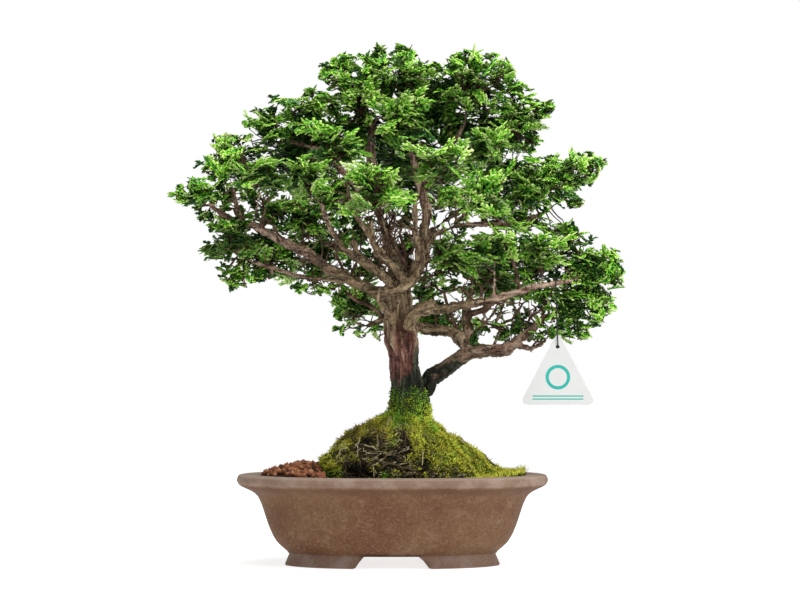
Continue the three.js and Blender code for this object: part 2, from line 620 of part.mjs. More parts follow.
bonsai.add(meshOf('pot', potSolid, finish.stoneware));
bonsai.add(meshOf('drain_screen_left', screens[0], finish.plasticMesh));
bonsai.add(meshOf('drain_screen_right', screens[1], finish.plasticMesh));
bonsai.add(meshOf('soil_bed', makeSoil(moundRoom, screenRoom), finish.akadama));
bonsai.add(meshOf('root_mound', cutByWood(moundSolid), finish.rootSoil));
bonsai.add(meshOf('tree_wood', wood, finish.bark));

sprayPlaces.forEach((spray, index) => {
  bonsai.add(meshOf(`foliage_${spray.name}`, cutByWood(makeSpray(spray, 700 + index)), finish.foliage));
});

bonsai.add(meshOf('hang_tag', makeTag(), finish.tagPlastic));
bonsai.add(meshOf('tag_cord', makeCord(), finish.cordBlack));

// The origin goes under the middle of the bonsai, measured without the tag and its cord
const hung = ['hang_tag', 'tag_cord'];
const whole = new THREE.Box3();
bonsai.children.filter(({ name }) => !hung.includes(name)).forEach((mesh) => whole.expandByObject(mesh));
bonsai.position.set(-(whole.min.x + whole.max.x) / 2, -(whole.min.y + whole.max.y) / 2, -whole.min.z);

export default bonsai;
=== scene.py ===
import math

import bmesh
import bpy
import numpy as np
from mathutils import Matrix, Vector


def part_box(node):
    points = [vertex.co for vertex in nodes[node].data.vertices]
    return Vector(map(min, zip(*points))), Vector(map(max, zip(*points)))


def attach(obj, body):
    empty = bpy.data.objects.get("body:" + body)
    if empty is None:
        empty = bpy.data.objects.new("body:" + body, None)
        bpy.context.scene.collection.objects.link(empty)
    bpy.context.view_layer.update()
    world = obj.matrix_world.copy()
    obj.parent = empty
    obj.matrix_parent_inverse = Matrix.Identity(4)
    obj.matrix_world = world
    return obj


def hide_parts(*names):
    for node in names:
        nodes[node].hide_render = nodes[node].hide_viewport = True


# Looks of the cypress bonsai: pot, soil, root mound with its moss, wood, foliage and the tag on its cord.
# Metres, +Z up, the front of the tree faces -Y.

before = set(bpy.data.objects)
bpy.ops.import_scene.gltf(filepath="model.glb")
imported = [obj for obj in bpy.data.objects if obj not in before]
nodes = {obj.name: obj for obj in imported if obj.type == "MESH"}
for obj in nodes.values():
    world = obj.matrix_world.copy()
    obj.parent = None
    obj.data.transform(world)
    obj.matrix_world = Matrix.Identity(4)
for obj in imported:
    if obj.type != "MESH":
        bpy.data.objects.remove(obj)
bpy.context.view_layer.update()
potLow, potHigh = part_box("pot")
potMiddle = (potLow + potHigh) / 2
centre = np.array([potMiddle.x, potMiddle.y, 0.0])      # places below are counted from under the pot's middle
print("frame loaded,", len(nodes), "nodes")


# camera, floor and light

view = {
    "side": 0.0075, "distance": 1.95, "height": 0.167,  # the eye, from the middle of the pot
    "aim": 0.2565,                                      # height looked at in the trunk's plane
    "lens": 87.75, "sensor": 36.0, "farthest": 50,
}

studio = {
    "keyPower": 27.0, "keySize": (1.3, 0.9), "keyPlace": (0.70, -1.2, 1.85),
    "topPower": 26.0, "topSize": (1.3, 1.3), "topPlace": (0.1, 0.1, 2.0),
    "fillPower": 12.0, "fillSize": (1.2, 1.2), "fillPlace": (1.6, -1.2, 0.8),
    "sky": 0.40, "floorRings": (0.3, 0.6, 1.0, 1.6, 2.2), "floorLevel": -0.0002, "floorAround": 96,
    "aimHeight": 0.28,
}


def pointAt(thing, place, target):
    thing.location = place
    thing.rotation_euler = (Vector(target) - Vector(place)).to_track_quat("-Z", "Y").to_euler()


def addObject(name, data):
    thing = bpy.data.objects.new(name, data)
    bpy.context.scene.collection.objects.link(thing)
    return thing


def makeCamera():
    data = bpy.data.cameras.new("camera")
    data.lens, data.sensor_width = view["lens"], view["sensor"]
    data.clip_end = view["farthest"]
    thing = addObject("camera", data)
    eye = (centre[0] + view["side"], centre[1] - view["distance"], view["height"])
    pointAt(thing, eye, (eye[0], centre[1], view["aim"]))
    bpy.context.scene.camera = thing


def makeLight(name):
    data = bpy.data.lights.new(name, "AREA")
    data.shape = "RECTANGLE"
    data.energy = studio[name + "Power"]
    data.size, data.size_y = studio[name + "Size"]
    pointAt(addObject(name, data), studio[name + "Place"], (0, 0, studio["aimHeight"]))


makeCamera()
for lamp in ("key", "top", "fill"):
    makeLight(lamp)
bpy.context.scene.view_settings.view_transform = "Standard"
print("camera and lights made")


# materials

def colour(text):
    # a screen colour such as 7a5e49 as linear light
    parts = [int(text[i:i + 2], 16) / 255 for i in (0, 2, 4)]
    return tuple(c / 12.92 if c <= 0.04045 else ((c + 0.055) / 1.055) ** 2.4 for c in parts) + (1.0,)


class Wire:
    # a node's socket: sums, differences and products of it add Math nodes
    def __init__(self, finish, socket):
        self.finish, self.socket = finish, socket

    def maths(self, operation, first, second=0.0):
        return self.finish.node("ShaderNodeMath", {"operation": operation}, {0: first, 1: second})

    def __add__(self, other):
        return self.maths("ADD", self, other)

    def __radd__(self, other):
        return self.maths("ADD", other, self)

    def __sub__(self, other):
        return self.maths("SUBTRACT", self, other)

    def __rsub__(self, other):
        return self.maths("SUBTRACT", other, self)

    def __mul__(self, other):
        return self.maths("MULTIPLY", self, other)

    def __rmul__(self, other):
        return self.maths("MULTIPLY", other, self)

    def size(self):
        return self.maths("ABSOLUTE", self)

    def below(self, level):
        return self.maths("LESS_THAN", self, level)


class Finish:
    # a material with one Principled shader; node() adds any other node, and takes colours as text
    def __init__(self, name, roughness=0.7, specular=0.5):
        self.material = bpy.data.materials.new(name)
        self.material.use_nodes = True
        self.tree = self.material.node_tree
        self.tree.nodes.clear()
        self.shader = self.tree.nodes.new("ShaderNodeBsdfPrincipled")
        self.shader.inputs["Roughness"].default_value = roughness
        self.shader.inputs["Specular IOR Level"].default_value = specular
        output = self.tree.nodes.new("ShaderNodeOutputMaterial")
        self.tree.links.new(self.shader.outputs[0], output.inputs[0])

    def node(self, kind, settings, sockets, output=0):
        made = self.tree.nodes.new(kind)
        for name, value in settings.items():
            if name == "stops":
                ramp = made.color_ramp
                while len(ramp.elements) < len(value):
                    ramp.elements.new(0.5)
                for element, (place, shade) in zip(ramp.elements, value):
                    element.position, element.color = place, colour(shade)
            else:
                setattr(made, name, value)
        for name, value in sockets.items():
            if isinstance(value, Wire):
                self.tree.links.new(value.socket, made.inputs[name])
            else:
                made.inputs[name].default_value = colour(value) if isinstance(value, str) else value
        return Wire(self, made.outputs[output])

    def feed(self, name, wire):
        self.tree.links.new(wire.socket, self.shader.inputs[name])

    def place(self):
        return self.node("ShaderNodeTexCoord", {}, {}, "Object")

    def axis(self, number):
        return self.node("ShaderNodeSeparateXYZ", {}, {0: self.place()}, number)

    def layer(self, name):
        return self.node("ShaderNodeAttribute", {"attribute_name": name}, {}, "Fac")

    def stretched(self, wire, scale):
        return self.node("ShaderNodeMapping", {}, {"Vector": wire, "Scale": scale})

    def noise(self, wire, scale, detail=3.0, roughness=0.55):
        return self.node("ShaderNodeTexNoise", {}, {
            "Vector": wire, "Scale": scale, "Detail": detail, "Roughness": roughness})

    def ramp(self, wire, *stops):
        return self.node("ShaderNodeValToRGB", {"stops": stops}, {0: wire})

    def mask(self, wire, low, high):
        # 0 below low, 1 above high, smooth between
        return self.node("ShaderNodeMapRange", {"interpolation_type": "SMOOTHSTEP"}, {
            "Value": wire, "From Min": low, "From Max": high})

    def mix(self, share, first, second):
        return self.node("ShaderNodeMix", {"data_type": "RGBA"}, {0: share, 6: first, 7: second}, 2)

    def over(self, base, wire, low, high, share, shade):
        # base with a share of a shade laid on it, none where the wire is below low and all of it above high
        return self.mix(self.mask(wire, low, high) * share, base, shade)

    def bump(self, height, distance):
        self.feed("Normal", self.node("ShaderNodeBump", {}, {
            "Height": height, "Distance": distance, "Strength": 1.0}))


# mesh tools

def addLayers(mesh, layers):
    for layer, values in layers.items():
        mesh.attributes.new(layer, "FLOAT", "POINT").data.foreach_set("value", np.asarray(values, np.float32))


def makeMesh(name, points, faces, layers=None):
    # every face is a row of corner numbers, all of the same length
    mesh = bpy.data.meshes.new(name)
    mesh.vertices.add(len(points))
    mesh.vertices.foreach_set("co", np.asarray(points, np.float32).ravel())
    corners = np.asarray(faces, np.int32)
    mesh.loops.add(corners.size)
    mesh.loops.foreach_set("vertex_index", corners.ravel())
    mesh.polygons.add(len(corners))
    mesh.polygons.foreach_set("loop_start", np.arange(0, corners.size, corners.shape[1], dtype=np.int32))
    mesh.polygons.foreach_set("use_smooth", np.full(len(corners), True))
    addLayers(mesh, layers or {})
    mesh.update(calc_edges=True)
    return addObject(name, mesh)


def coat(piece, finish):
    piece.data.materials.clear()
    piece.data.materials.append(finish.material)


def finishPiece(piece, finish, slot, *replaced):
    coat(piece, finish)
    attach(piece, "root")
    if replaced:
        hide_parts(*replaced)
    if piece.type == "MESH":
        piece.data.calc_loop_triangles()
        print("made", piece.name, "of", len(piece.data.loop_triangles), "triangles")
    else:
        print("made", piece.name)


def applied(thing):
    # the thing's mesh as its modifiers leave it
    bpy.context.view_layer.update()
    return bpy.data.meshes.new_from_object(thing.evaluated_get(bpy.context.evaluated_depsgraph_get()))


def fetch(collection, field, width, kind=np.float32):
    values = np.empty(len(collection) * width, kind)
    collection.foreach_get(field, values)
    return values.reshape(-1, width)


def unit(vectors):
    return vectors / np.maximum(np.linalg.norm(vectors, axis=-1, keepdims=True), 1e-9)


def smoothstep(values, low, high):
    share = np.clip((values - low) / (high - low), 0, 1)
    return share * share * (3 - 2 * share)


def hump(*terms):
    # a soft swelling, 1 in its middle: each term is (values, middle, half width)
    return np.exp(-sum(((values - middle) / width) ** 2 for values, middle, width in terms))


def anglesRound(count):
    return 2 * math.pi * np.arange(count) / count


def ripples(points, size, seed, waves=14):
    # sum of plane waves in random directions, about as long as size: between -1 and 1, mostly
    random = np.random.default_rng(seed)
    directions = unit(random.normal(size=(waves, 3)))
    directions = directions * (2 * math.pi / size) * random.uniform(0.6, 1.4, (waves, 1))
    return np.sin(points @ directions.T + random.uniform(0, 2 * math.pi, waves)).sum(-1) / math.sqrt(waves)


def gridFaces(rings, around):
    # triangles between rings of points, each ring closed on itself
    ring, spot = np.meshgrid(np.arange(rings - 1), np.arange(around), indexing="ij")
    a = ring * around + spot
    b = ring * around + (spot + 1) % around
    c, d = a + around, b + around
    return np.concatenate([np.stack([a, b, d], -1), np.stack([a, d, c], -1)]).reshape(-1, 3)


def turned(rings, low, high):
    # points and faces of closed rings from the bottom to the top, with a fan to one more point at each end
    count, around = rings.shape[:2]
    spot = np.arange(around)
    following = (spot + 1) % around
    last = (count - 1) * around
    bottom = np.stack([np.full(around, count * around), following, spot], -1)
    top = np.stack([np.full(around, count * around + 1), last + spot, last + following], -1)
    return (np.concatenate([rings.reshape(-1, 3), [low, high]]),
            np.concatenate([gridFaces(count, around), bottom, top]))


def repeated(faces, count, step):
    # the faces of one shape for each of many like it, whose points follow each other in rows of step
    return (faces[None] + step * np.arange(count)[:, None, None]).reshape(-1, 3)


def joined(parts):
    # one list of points and one of faces from many
    points, faces = zip(*parts)
    starts = np.cumsum([0, *(len(part) for part in points[:-1])])
    return np.concatenate(points), np.concatenate([part + start for part, start in zip(faces, starts)])


def catmull(points, steps):
    # a smooth line through points, with this many steps from each to the next
    points = np.asarray(points, float)
    padded = np.concatenate([[2 * points[0] - points[1]], points, [2 * points[-1] - points[-2]]])
    t = np.linspace(0, 1, steps, endpoint=False)[:, None]
    spans = []
    for a, b, c, d in zip(padded[:-3], padded[1:-2], padded[2:-1], padded[3:]):
        spans.append(0.5 * (2 * b + (c - a) * t + (2 * a - 5 * b + 4 * c - d) * t ** 2
                            + (3 * b - a - 3 * c + d) * t ** 3))
    return np.concatenate([*spans, points[-1:]])


def smoothLine(way, steps):
    # a smooth line by way of the listed points, thinned to this many
    line = catmull(way, 8)
    return line[np.linspace(0, len(line) - 1, steps).round().astype(int)]


def tubes(paths, radii, sides):
    # a ring of points stands round every point of every path, square to it, and both ends are closed
    count, steps = paths.shape[:2]
    tangents = unit(np.gradient(paths, axis=1))
    whole = unit(paths[:, -1] - paths[:, 0])
    upright = np.abs(whole[:, 2:3]) < 0.75
    reference = np.where(upright, [[0.0, 0.0, 1.0]], [[1.0, 0.0, 0.0]])
    across = unit(np.cross(tangents, reference[:, None, :]))
    above = np.cross(across, tangents)
    turn = anglesRound(sides)
    ring = across[:, :, None] * np.cos(turn)[:, None] + above[:, :, None] * np.sin(turn)[:, None]
    walls = paths[:, :, None] + radii[:, :, None, None] * ring
    points = np.concatenate([walls.reshape(count, -1, 3), paths[:, :1], paths[:, -1:]], 1)
    spot = np.arange(sides)
    following = (spot + 1) % sides
    first, end = steps * sides, steps * sides + 1
    last = (steps - 1) * sides
    faces = np.concatenate([
        gridFaces(steps, sides)[:, ::-1],
        np.stack([np.full(sides, first), spot, following], -1),
        np.stack([np.full(sides, end), last + following, last + spot], -1)])
    return points.reshape(-1, 3), repeated(faces, count, points.shape[1])


# hang tag and its cord

cord = {
    "diameter": 0.0012, "drop": 0.058, "drift": 0.002, "standOff": 0.0019,
    "loopRadius": 0.0042, "knotRadius": 0.0022, "length": 0.0625,
    "sides": 10, "loopSteps": 40, "knotRings": 10, "knotLobes": (3, 0.18),
    "hangs": (1, 0.86, 0.6, 0.34, 0.1),                 # shares of the drop above the tag's hole
    "through": ((0, -0.0017, 0.0018), (0, -0.0011, 0.0005), (0, 0, 0.0001), (0, 0.003, 0)),
}
tag = {
    "holeDrop": 0.0117,                                 # from its highest point
    "ringDrop": 0.030, "ringRadius": 0.0105, "ringWidth": 0.0032,       # the printed ring, from the hole
    "bars": (-0.0485, -0.0515), "barWidth": 0.0013, "barHalf": 0.025,   # and the ruled lines under it
}
tagLow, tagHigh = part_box("hang_tag")
tagHole = np.array([(tagLow.x + tagHigh.x) / 2, (tagLow.y + tagHigh.y) / 2, tagHigh.z - tag["holeDrop"]])


def cordFinish():
    finish = Finish("black_cord", roughness=0.8)
    place = finish.place()
    twist = finish.node("ShaderNodeTexWave", {"bands_direction": "DIAGONAL"}, {
        "Vector": place, "Scale": 900.0})
    finish.feed("Base Color", finish.mix(twist, "15130f", "3a352e"))
    finish.bump(twist, 0.0002)
    return finish


def tagFinish():
    # translucent white plastic with a plain ring and two ruled lines
    finish = Finish("tag_plastic", roughness=0.35)
    across, depth, up = (finish.axis(i) - float(place) for i, place in enumerate(tagHole))
    fromRing = up + tag["ringDrop"]
    squared = across * across + fromRing * fromRing
    radius = squared.maths("SQRT", squared)
    printed = (radius - tag["ringRadius"]).size().below(tag["ringWidth"] / 2)
    within = across.size().below(tag["barHalf"])
    for level in tag["bars"]:
        bar = (up - level).size().below(tag["barWidth"] / 2)
        printed = printed.maths("MAXIMUM", printed, bar * within)
    printed = printed * depth.below(0.0)                    # only on the front
    grain = finish.noise(finish.place(), 60.0)
    white = finish.mix(grain, "c6c7c5", "d0d1cf")
    finish.feed("Base Color", finish.mix(printed, white, "1fa598"))
    finish.feed("Roughness", 0.3 + 0.15 * grain)
    return finish


def makeTag():
    plate = nodes["hang_tag"]
    coat(plate, tagFinish())
    return plate


def makeStrand(line):
    # the cord's hanging stretch, as a round line
    data = bpy.data.curves.new("tag_strand", "CURVE")
    data.dimensions = "3D"
    data.bevel_depth, data.bevel_resolution, data.use_fill_caps = cord["diameter"] / 2, 3, True
    spline = data.splines.new("POLY")
    spline.points.add(len(line) - 1)
    spline.points.foreach_set("co", np.concatenate([line, np.ones((len(line), 1))], 1).ravel())
    return addObject("tag_strand", data)


def makeLoop(place):
    # a ring of round cord, standing on the strand's upper end
    sides, steps = cord["sides"], cord["loopSteps"]
    turn, side = anglesRound(steps), anglesRound(sides)
    ring = cord["loopRadius"] + cord["diameter"] / 2 * np.cos(side)[None]
    across = np.broadcast_to(cord["diameter"] / 2 * np.sin(side)[None], (steps, sides))
    points = np.stack([across, ring * np.cos(turn)[:, None], ring * np.sin(turn)[:, None]], -1)
    points = points + (place + np.array([0, 0, cord["loopRadius"]]))
    return makeMesh("tag_loop", points.reshape(-1, 3), gridFaces(steps + 1, sides) % (steps * sides))


def makeKnot(place):
    # a ball with three lobes behind the tag
    side = anglesRound(cord["sides"])
    lobes, depth = cord["knotLobes"]
    rings = np.stack([
        np.stack([np.sin(a) * np.cos(side), np.full(len(side), -np.cos(a)), np.sin(a) * np.sin(side)], -1)
        for a in np.linspace(0, math.pi, cord["knotRings"] + 2)[1:-1]])
    rings = rings * cord["knotRadius"] * (1 + depth * np.sin(lobes * side + 2)[None, :, None])
    ends = np.array([[0, -1, 0], [0, 1, 0]]) * cord["knotRadius"] + place
    return makeMesh("tag_knot", *turned(rings[:, ::-1] + place, *ends))


def makeCord(plate):
    finish = cordFinish()
    hanging = [(-cord["drift"] * share, -cord["standOff"], cord["drop"] * share) for share in cord["hangs"]]
    line = catmull([*hanging, *cord["through"]], 4) + tagHole
    strand, loop, knot = makeStrand(line), makeLoop(line[0]), makeKnot(line[-1])
    for piece in (strand, loop, knot):
        finishPiece(piece, finish, "cord_black", "tag_cord")


makeCord(makeTag())


# pot

# the pot's outline from the foot up, over the lip and down inside, as (half length, height)
pot = {
    "lengthLessWidth": 0.0385, "fullness": 0.86, "around": 240,
    "foot": [(0.092, 0), (0.1093, 0), (0.1103, 0.0008), (0.1037, 0.012)],
    "wall": [(0.1046, 0.0126), (0.1155, 0.023), (0.123, 0.038), (0.1306, 0.060), (0.137, 0.070),
             (0.150, 0.0768)],
    "lip": [(0.1525, 0.0785), (0.1545, 0.0822), (0.1537, 0.0862), (0.151, 0.088), (0.1355, 0.0882),
            (0.1325, 0.0868)],
    "inside": [(0.1305, 0.083), (0.1205, 0.060), (0.112, 0.033), (0.097, 0.019)],
    "under": [(0.088, 0.012), (0.0895, 0.006)],
    "gapHeight": 0.0115, "gapTop": (0.060, 0.044), "gapBottom": (0.072, 0.052),
    "gapTaper": 0.059, "floorHalves": (0.03, 0.06),
    "drainRadius": 0.010, "drainOffset": 0.052,
}


def ovalRing(halfLength, level, around):
    # an oval squarer than an ellipse, its half width less than its half length by a fixed amount
    turn = 2 * math.pi * (np.arange(around) + 0.5) / around
    c, s = np.cos(turn), np.sin(turn)
    halfWidth = max(halfLength - pot["lengthLessWidth"], 0.2 * halfLength)
    return np.stack([halfLength * np.sign(c) * np.abs(c) ** pot["fullness"],
                     halfWidth * np.sign(s) * np.abs(s) ** pot["fullness"], np.full(around, level)], -1)


def potFinish():
    # unglazed clay: clouds of ochre and red brown, greyer on the foot, paler and drier along the lip, and a
    # painted shadow under the lip
    finish = Finish("unglazed_clay", specular=0.25)
    place = finish.place()
    mottle = finish.noise(place, 17.0, 3.0)
    cloud = finish.noise(place, 48.0, 6.0, 0.62)
    speck = finish.noise(place, 900.0, 2.0)
    grit = finish.noise(place, 380.0, 4.0, 0.7)
    scratch = finish.noise(finish.stretched(place, (1, 1, 5)), 210.0, 3.0)
    clay = finish.ramp(mottle * 0.45 + cloud * 0.25 + grit * 0.3,
                       (0.38, "5d3924"), (0.5, "6b4a33"), (0.62, "76593e"))
    clay = finish.over(clay, cloud, 0.52, 0.72, 0.3, "8d7660")
    clay = finish.over(clay, scratch, 0.62, 0.72, 0.35, "a08c78")
    clay = finish.over(clay, grit, 0.56, 0.68, 0.25, "a08974")
    clay = finish.mix((1 - finish.mask(grit, 0.32, 0.42)) * 0.5, clay, "46311f")
    clay = finish.over(clay, speck, 0.6, 0.75, 0.35, "44301f")
    level = finish.axis(2)
    lip = finish.mask(level + (cloud - 0.5) * 0.002, 0.0775, 0.0805)
    # the band just under the lip is darkened as the painted shadow of the lip's overhang
    under = finish.mask(level, 0.0685, 0.0765) * (1 - finish.mask(level, 0.0765, 0.0785))
    clay = finish.mix(under * 0.45, clay, "4f3828")
    clay = finish.mix(lip * 0.7, clay, finish.mix(finish.mask(cloud, 0.4, 0.62), "836d5e", "9b887b"))
    top = finish.mask(level + (scratch - 0.5) * 0.002, 0.0855, 0.088)
    clay = finish.mix(top * 0.5, clay, "a59385")
    foot = 1 - finish.mask(level, 0.0105, 0.0135)
    clay = finish.mix(foot * (0.4 + 0.35 * finish.mask(cloud, 0.42, 0.6)), clay, "86736a")
    finish.feed("Base Color", clay)
    finish.feed("Roughness", 0.66 + 0.2 * cloud)
    finish.bump(speck * 0.4 + cloud * 0.3 + scratch * 0.3, 0.0007)
    return finish


def makePot():
    # rings of the underside, the foot, the wall, the lip and the inside
    profile = [*pot["under"], *pot["foot"], *catmull(pot["wall"], 4), *catmull(pot["lip"], 3),
               *catmull(pot["inside"], 3)]
    around = pot["around"]
    rings = np.stack([ovalRing(half, level, around) for half, level in profile])
    gap = np.zeros(rings.shape[:2])
    for axis, (top, bottom) in enumerate(zip(pot["gapTop"], pot["gapBottom"])):
        rise = (bottom / 2 - np.abs(rings[:, :, axis])) / (bottom / 2 - top / 2)
        gap = np.maximum(gap, pot["gapHeight"] * np.clip(rise, 0, 1))
    low = rings[:, :, 2] < pot["gapHeight"]
    drawnIn = 1 - pot["gapTaper"] * np.clip((gap - rings[:, :, 2]) / pot["gapHeight"], 0, 1) * low
    rings[:, :, :2] *= drawnIn[:, :, None]
    rings[:, :, 2] = np.where(low, np.maximum(rings[:, :, 2], gap), rings[:, :, 2])
    underLevel, floorLevel = pot["under"][0][1], pot["inside"][-1][1]
    below = [ovalRing(half, underLevel, around) for half in pot["floorHalves"]]
    top = [ovalRing(half, floorLevel, around) for half in pot["floorHalves"][::-1]]
    rings = np.concatenate([below, rings, top]) + centre
    body = makeMesh("pot_clay", *turned(rings, centre + [0, 0, underLevel], centre + [0, 0, floorLevel]))
    for side in (-1, 1):
        bpy.ops.mesh.primitive_cylinder_add(
            vertices=48, radius=pot["drainRadius"], depth=0.05,
            location=(centre[0] + side * pot["drainOffset"], centre[1], floorLevel))
        drill = bpy.context.object
        cut = body.modifiers.new("drain", "BOOLEAN")
        cut.operation, cut.object, cut.solver = "DIFFERENCE", drill, "EXACT"
        drilled = applied(body)
        body.modifiers.clear()
        body.data = drilled
        bpy.data.objects.remove(drill)
    finishPiece(body, potFinish(), "stoneware", "pot")


makePot()


# soil

soil = {
    "level": 0.0828, "around": 120, "grains": 1350, "smallest": 0.0017, "largest": 0.0034,
    "heaps": [(0.0145, -0.088, 0.038, 0.060), (0.006, 0.114, 0.026, 0.050)],   # height, middle, length, width
    "bed": [(0.0965, 0.0194), (0.1117, 0.033), (0.1202, 0.060)],        # half length and height, under ground
    "surface": (0.1292, 0.120, 0.105, 0.09, 0.07, 0.05), "reach": (0.1285, 0.0905),
    "mossy": (0.078, 0.030), "crumbs": (-0.066, -0.02),     # moss from here on, and finer darker crumbs
}
mound = {
    "middle": 0.015, "around": 140, "rings": 60, "thinner": 0.0034, "bottom": 0.0305, "summit": 0.1535,
    "lumps": ((0.0022, 0.030, 21), (0.0013, 0.011, 22)), "hollowDepth": 0.004,   # lumps: height, size, seed
    # height and reach to the left, to the right, and to the front and back
    "reach": [(0.078, 0.084, 0.100, 0.070), (0.091, 0.087, 0.097, 0.076), (0.103, 0.088, 0.079, 0.070),
              (0.118, 0.070, 0.065, 0.058), (0.131, 0.0545, 0.039, 0.043), (0.140, 0.0445, 0.0265, 0.033),
              (0.147, 0.029, 0.0225, 0.027), (0.151, 0.017, 0.021, 0.021)],
    "tufts": 980, "tuftBlades": 13, "tuftSize": 0.0021, "tuftHeight": 0.0012,
    "bladeLength": 0.0048, "bladeWidth": (0.00045, 0.00085), "soilBlades": 2200, "barkBlades": 7500,
    "groundTries": 6000,
    # hollows in its front, sunk in and painted near black as shade: across, height, and half of their width
    # and height
    "hollows": [(0.0127, 0.113, 0.0105, 0.01), (0.0307, 0.1, 0.0065, 0.011), (-0.024, 0.092, 0.01, 0.005),
                (-0.037, 0.0955, 0.008, 0.007), (-0.026, 0.1225, 0.008, 0.004),
                (-0.0035, 0.107, 0.006, 0.003)],
    "greenSpots": [(-0.022, 0.128, 0.009, 0.006), (-0.046, 0.113, 0.006, 0.005), (0.002, 0.120, 0.006, 0.005),
                   (-0.006, 0.0905, 0.008, 0.004)],
}
# roots that lie on the mound: how many, where they start (degrees round, height), how far they fall, their
# radius, their tone from dark to pale, and how much they wander
rootKinds = [
    (9, (-148, -90), (0.100, 0.138), (0.010, 0.030), (0.0010, 0.0018), (0.1, 0.4), 0.10),
    (70, (-152, -84), (0.093, 0.138), (0.003, 0.012), (0.0003, 0.0006), (0.6, 1.0), 0.22),
    (170, (-152, -70), (0.092, 0.136), (0.004, 0.018), (0.0003, 0.0008), (0.0, 0.4), 0.14),
    (110, (-104, -40), (0.087, 0.101), (0.001, 0.004), (0.0004, 0.0009), (0.1, 0.9), 0.035),
    (50, (0, 200), (0.092, 0.134), (0.006, 0.020), (0.0003, 0.0012), (0.2, 0.9), 0.12),
]
# single roots on its front: radius, tone, and their way as (across, height)
frontRoots = [
    (0.0017, 0.62, [(0.0, 0.146), (-0.005, 0.141), (-0.0075, 0.136), (-0.0095, 0.1315)]),
    (0.0009, 0.95, [(-0.034, 0.1264), (-0.0355, 0.1197), (-0.0345, 0.1148), (-0.0374, 0.1071)]),
    (0.0008, 0.9, [(-0.0311, 0.1163), (-0.034, 0.1145), (-0.0365, 0.1119)]),
    (0.001, 0.95, [(-0.0437, 0.1148), (-0.0505, 0.1119), (-0.0548, 0.1047)]),
    (0.0008, 0.85, [(-0.0495, 0.1226), (-0.0471, 0.1168), (-0.0529, 0.1119)]),
    (0.0009, 0.9, [(-0.0263, 0.1168), (-0.0205, 0.1177), (-0.0162, 0.1148)]),
    (0.0009, 0.75, [(-0.0141, 0.1264), (-0.0147, 0.1187), (-0.0167, 0.1139)]),
    (0.0014, 0.85, [(-0.0198, 0.0994), (-0.0102, 0.1061), (-0.0041, 0.1114), (-0.0002, 0.1139)]),
    (0.0011, 0.9, [(-0.0191, 0.0994), (-0.0188, 0.0926), (-0.0181, 0.0887)]),
    (0.001, 0.6, [(-0.0263, 0.1061), (-0.0302, 0.1013), (-0.0331, 0.0965), (-0.0403, 0.0897)]),
    (0.0009, 0.5, [(-0.0311, 0.1013), (-0.0297, 0.0945), (-0.0273, 0.0878)]),
    (0.001, 0.45, [(-0.035, 0.0984), (-0.034, 0.0936), (-0.036, 0.0868)]),
    (0.0009, 0.75, [(0.0123, 0.1071), (0.0167, 0.1023), (0.0176, 0.0945)]),
    (0.0011, 0.95, [(0.0302, 0.1119), (0.0297, 0.1061), (0.0292, 0.1008)]),
    (0.0007, 0.7, [(0.0466, 0.1061), (0.0463, 0.102), (0.0457, 0.0984)]),
    (0.0007, 0.8, [(0.0046, 0.138), (0.0138, 0.137), (0.0186, 0.1342)]),
    (0.0024, 0.4, [(-0.0147, 0.0965), (-0.0041, 0.1013), (0.0046, 0.1003), (0.0104, 0.0945)]),
    (0.0018, 0.05, [(0.0394, 0.1211), (0.0432, 0.1197), (0.0471, 0.1172)]),
    (0.0012, 0.35, [(-0.0253, 0.0945), (-0.0234, 0.0994), (-0.0176, 0.1042), (-0.0118, 0.1032)]),
]


def soilHeight(x, y):
    heaped = sum(rise * np.exp(-((x - middle) / length) ** 2 - (y / width) ** 2)
                 for rise, middle, length, width in soil["heaps"])
    heaped = heaped * (1 - smoothstep(x, -0.078, -0.056) * smoothstep(-y, 0, 0.02) * (x < 0))
    return soil["level"] + heaped


def moundHalves(level):
    # the mound's reach to the left, to the right, and to the front and back
    levels, *reaches = np.array(mound["reach"]).T
    return [np.interp(level, levels, reach) for reach in reaches]


def moundReach(turn, level):
    # distance from the mound's axis to its surface, an oval with a longer right side
    left, right, side = moundHalves(level)
    along = np.where(np.cos(turn) > 0, right, left)
    return along * side / np.hypot(side * np.cos(turn), along * np.sin(turn))


def spotted(places, spots):
    # soft ovals seen from the front: 1 in their middle, 0 away from them and at the back
    x, y, z = places[..., 0], places[..., 1], places[..., 2]
    inside = sum(hump((x, across, width), (z, level, tall)) for across, level, width, tall in spots)
    return np.clip(inside, 0, 1) * (y < 0)


def hollowness(places):
    # the hollows are sunk in, bare of moss and painted near black as shade
    return spotted(places, mound["hollows"])


def moundPoint(turn, level, proud=0.0):
    reach = moundReach(turn, level)
    flat = np.stack([mound["middle"] + reach * np.cos(turn), reach * np.sin(turn), level], -1)
    outwards = unit(np.stack([np.cos(turn), np.sin(turn), np.full_like(turn, 0.8)], -1))
    lumps = sum(height * ripples(flat, size, seed) for height, size, seed in mound["lumps"])
    lumps = lumps - mound["hollowDepth"] * hollowness(flat)
    return flat + outwards * (lumps + proud - mound["thinner"])[..., None], outwards


def grainFinish():
    # baked clay grains, each of its own colour from dark brown to orange
    finish = Finish("akadama_grains", specular=0.2)
    tone = finish.layer("tone")
    place = finish.place()
    fine = finish.noise(place, 700.0, 3.0)
    clay = finish.ramp(tone, (0.0, "1f150e"), (0.3, "704530"), (0.65, "9d6445"),
                       (1.0, "c5956d"))
    finish.feed("Base Color", finish.over(clay, fine, 0.45, 0.7, 0.35, "5a3a28"))
    finish.feed("Roughness", 0.8 + 0.15 * fine)
    finish.bump(fine, 0.0004)
    return finish


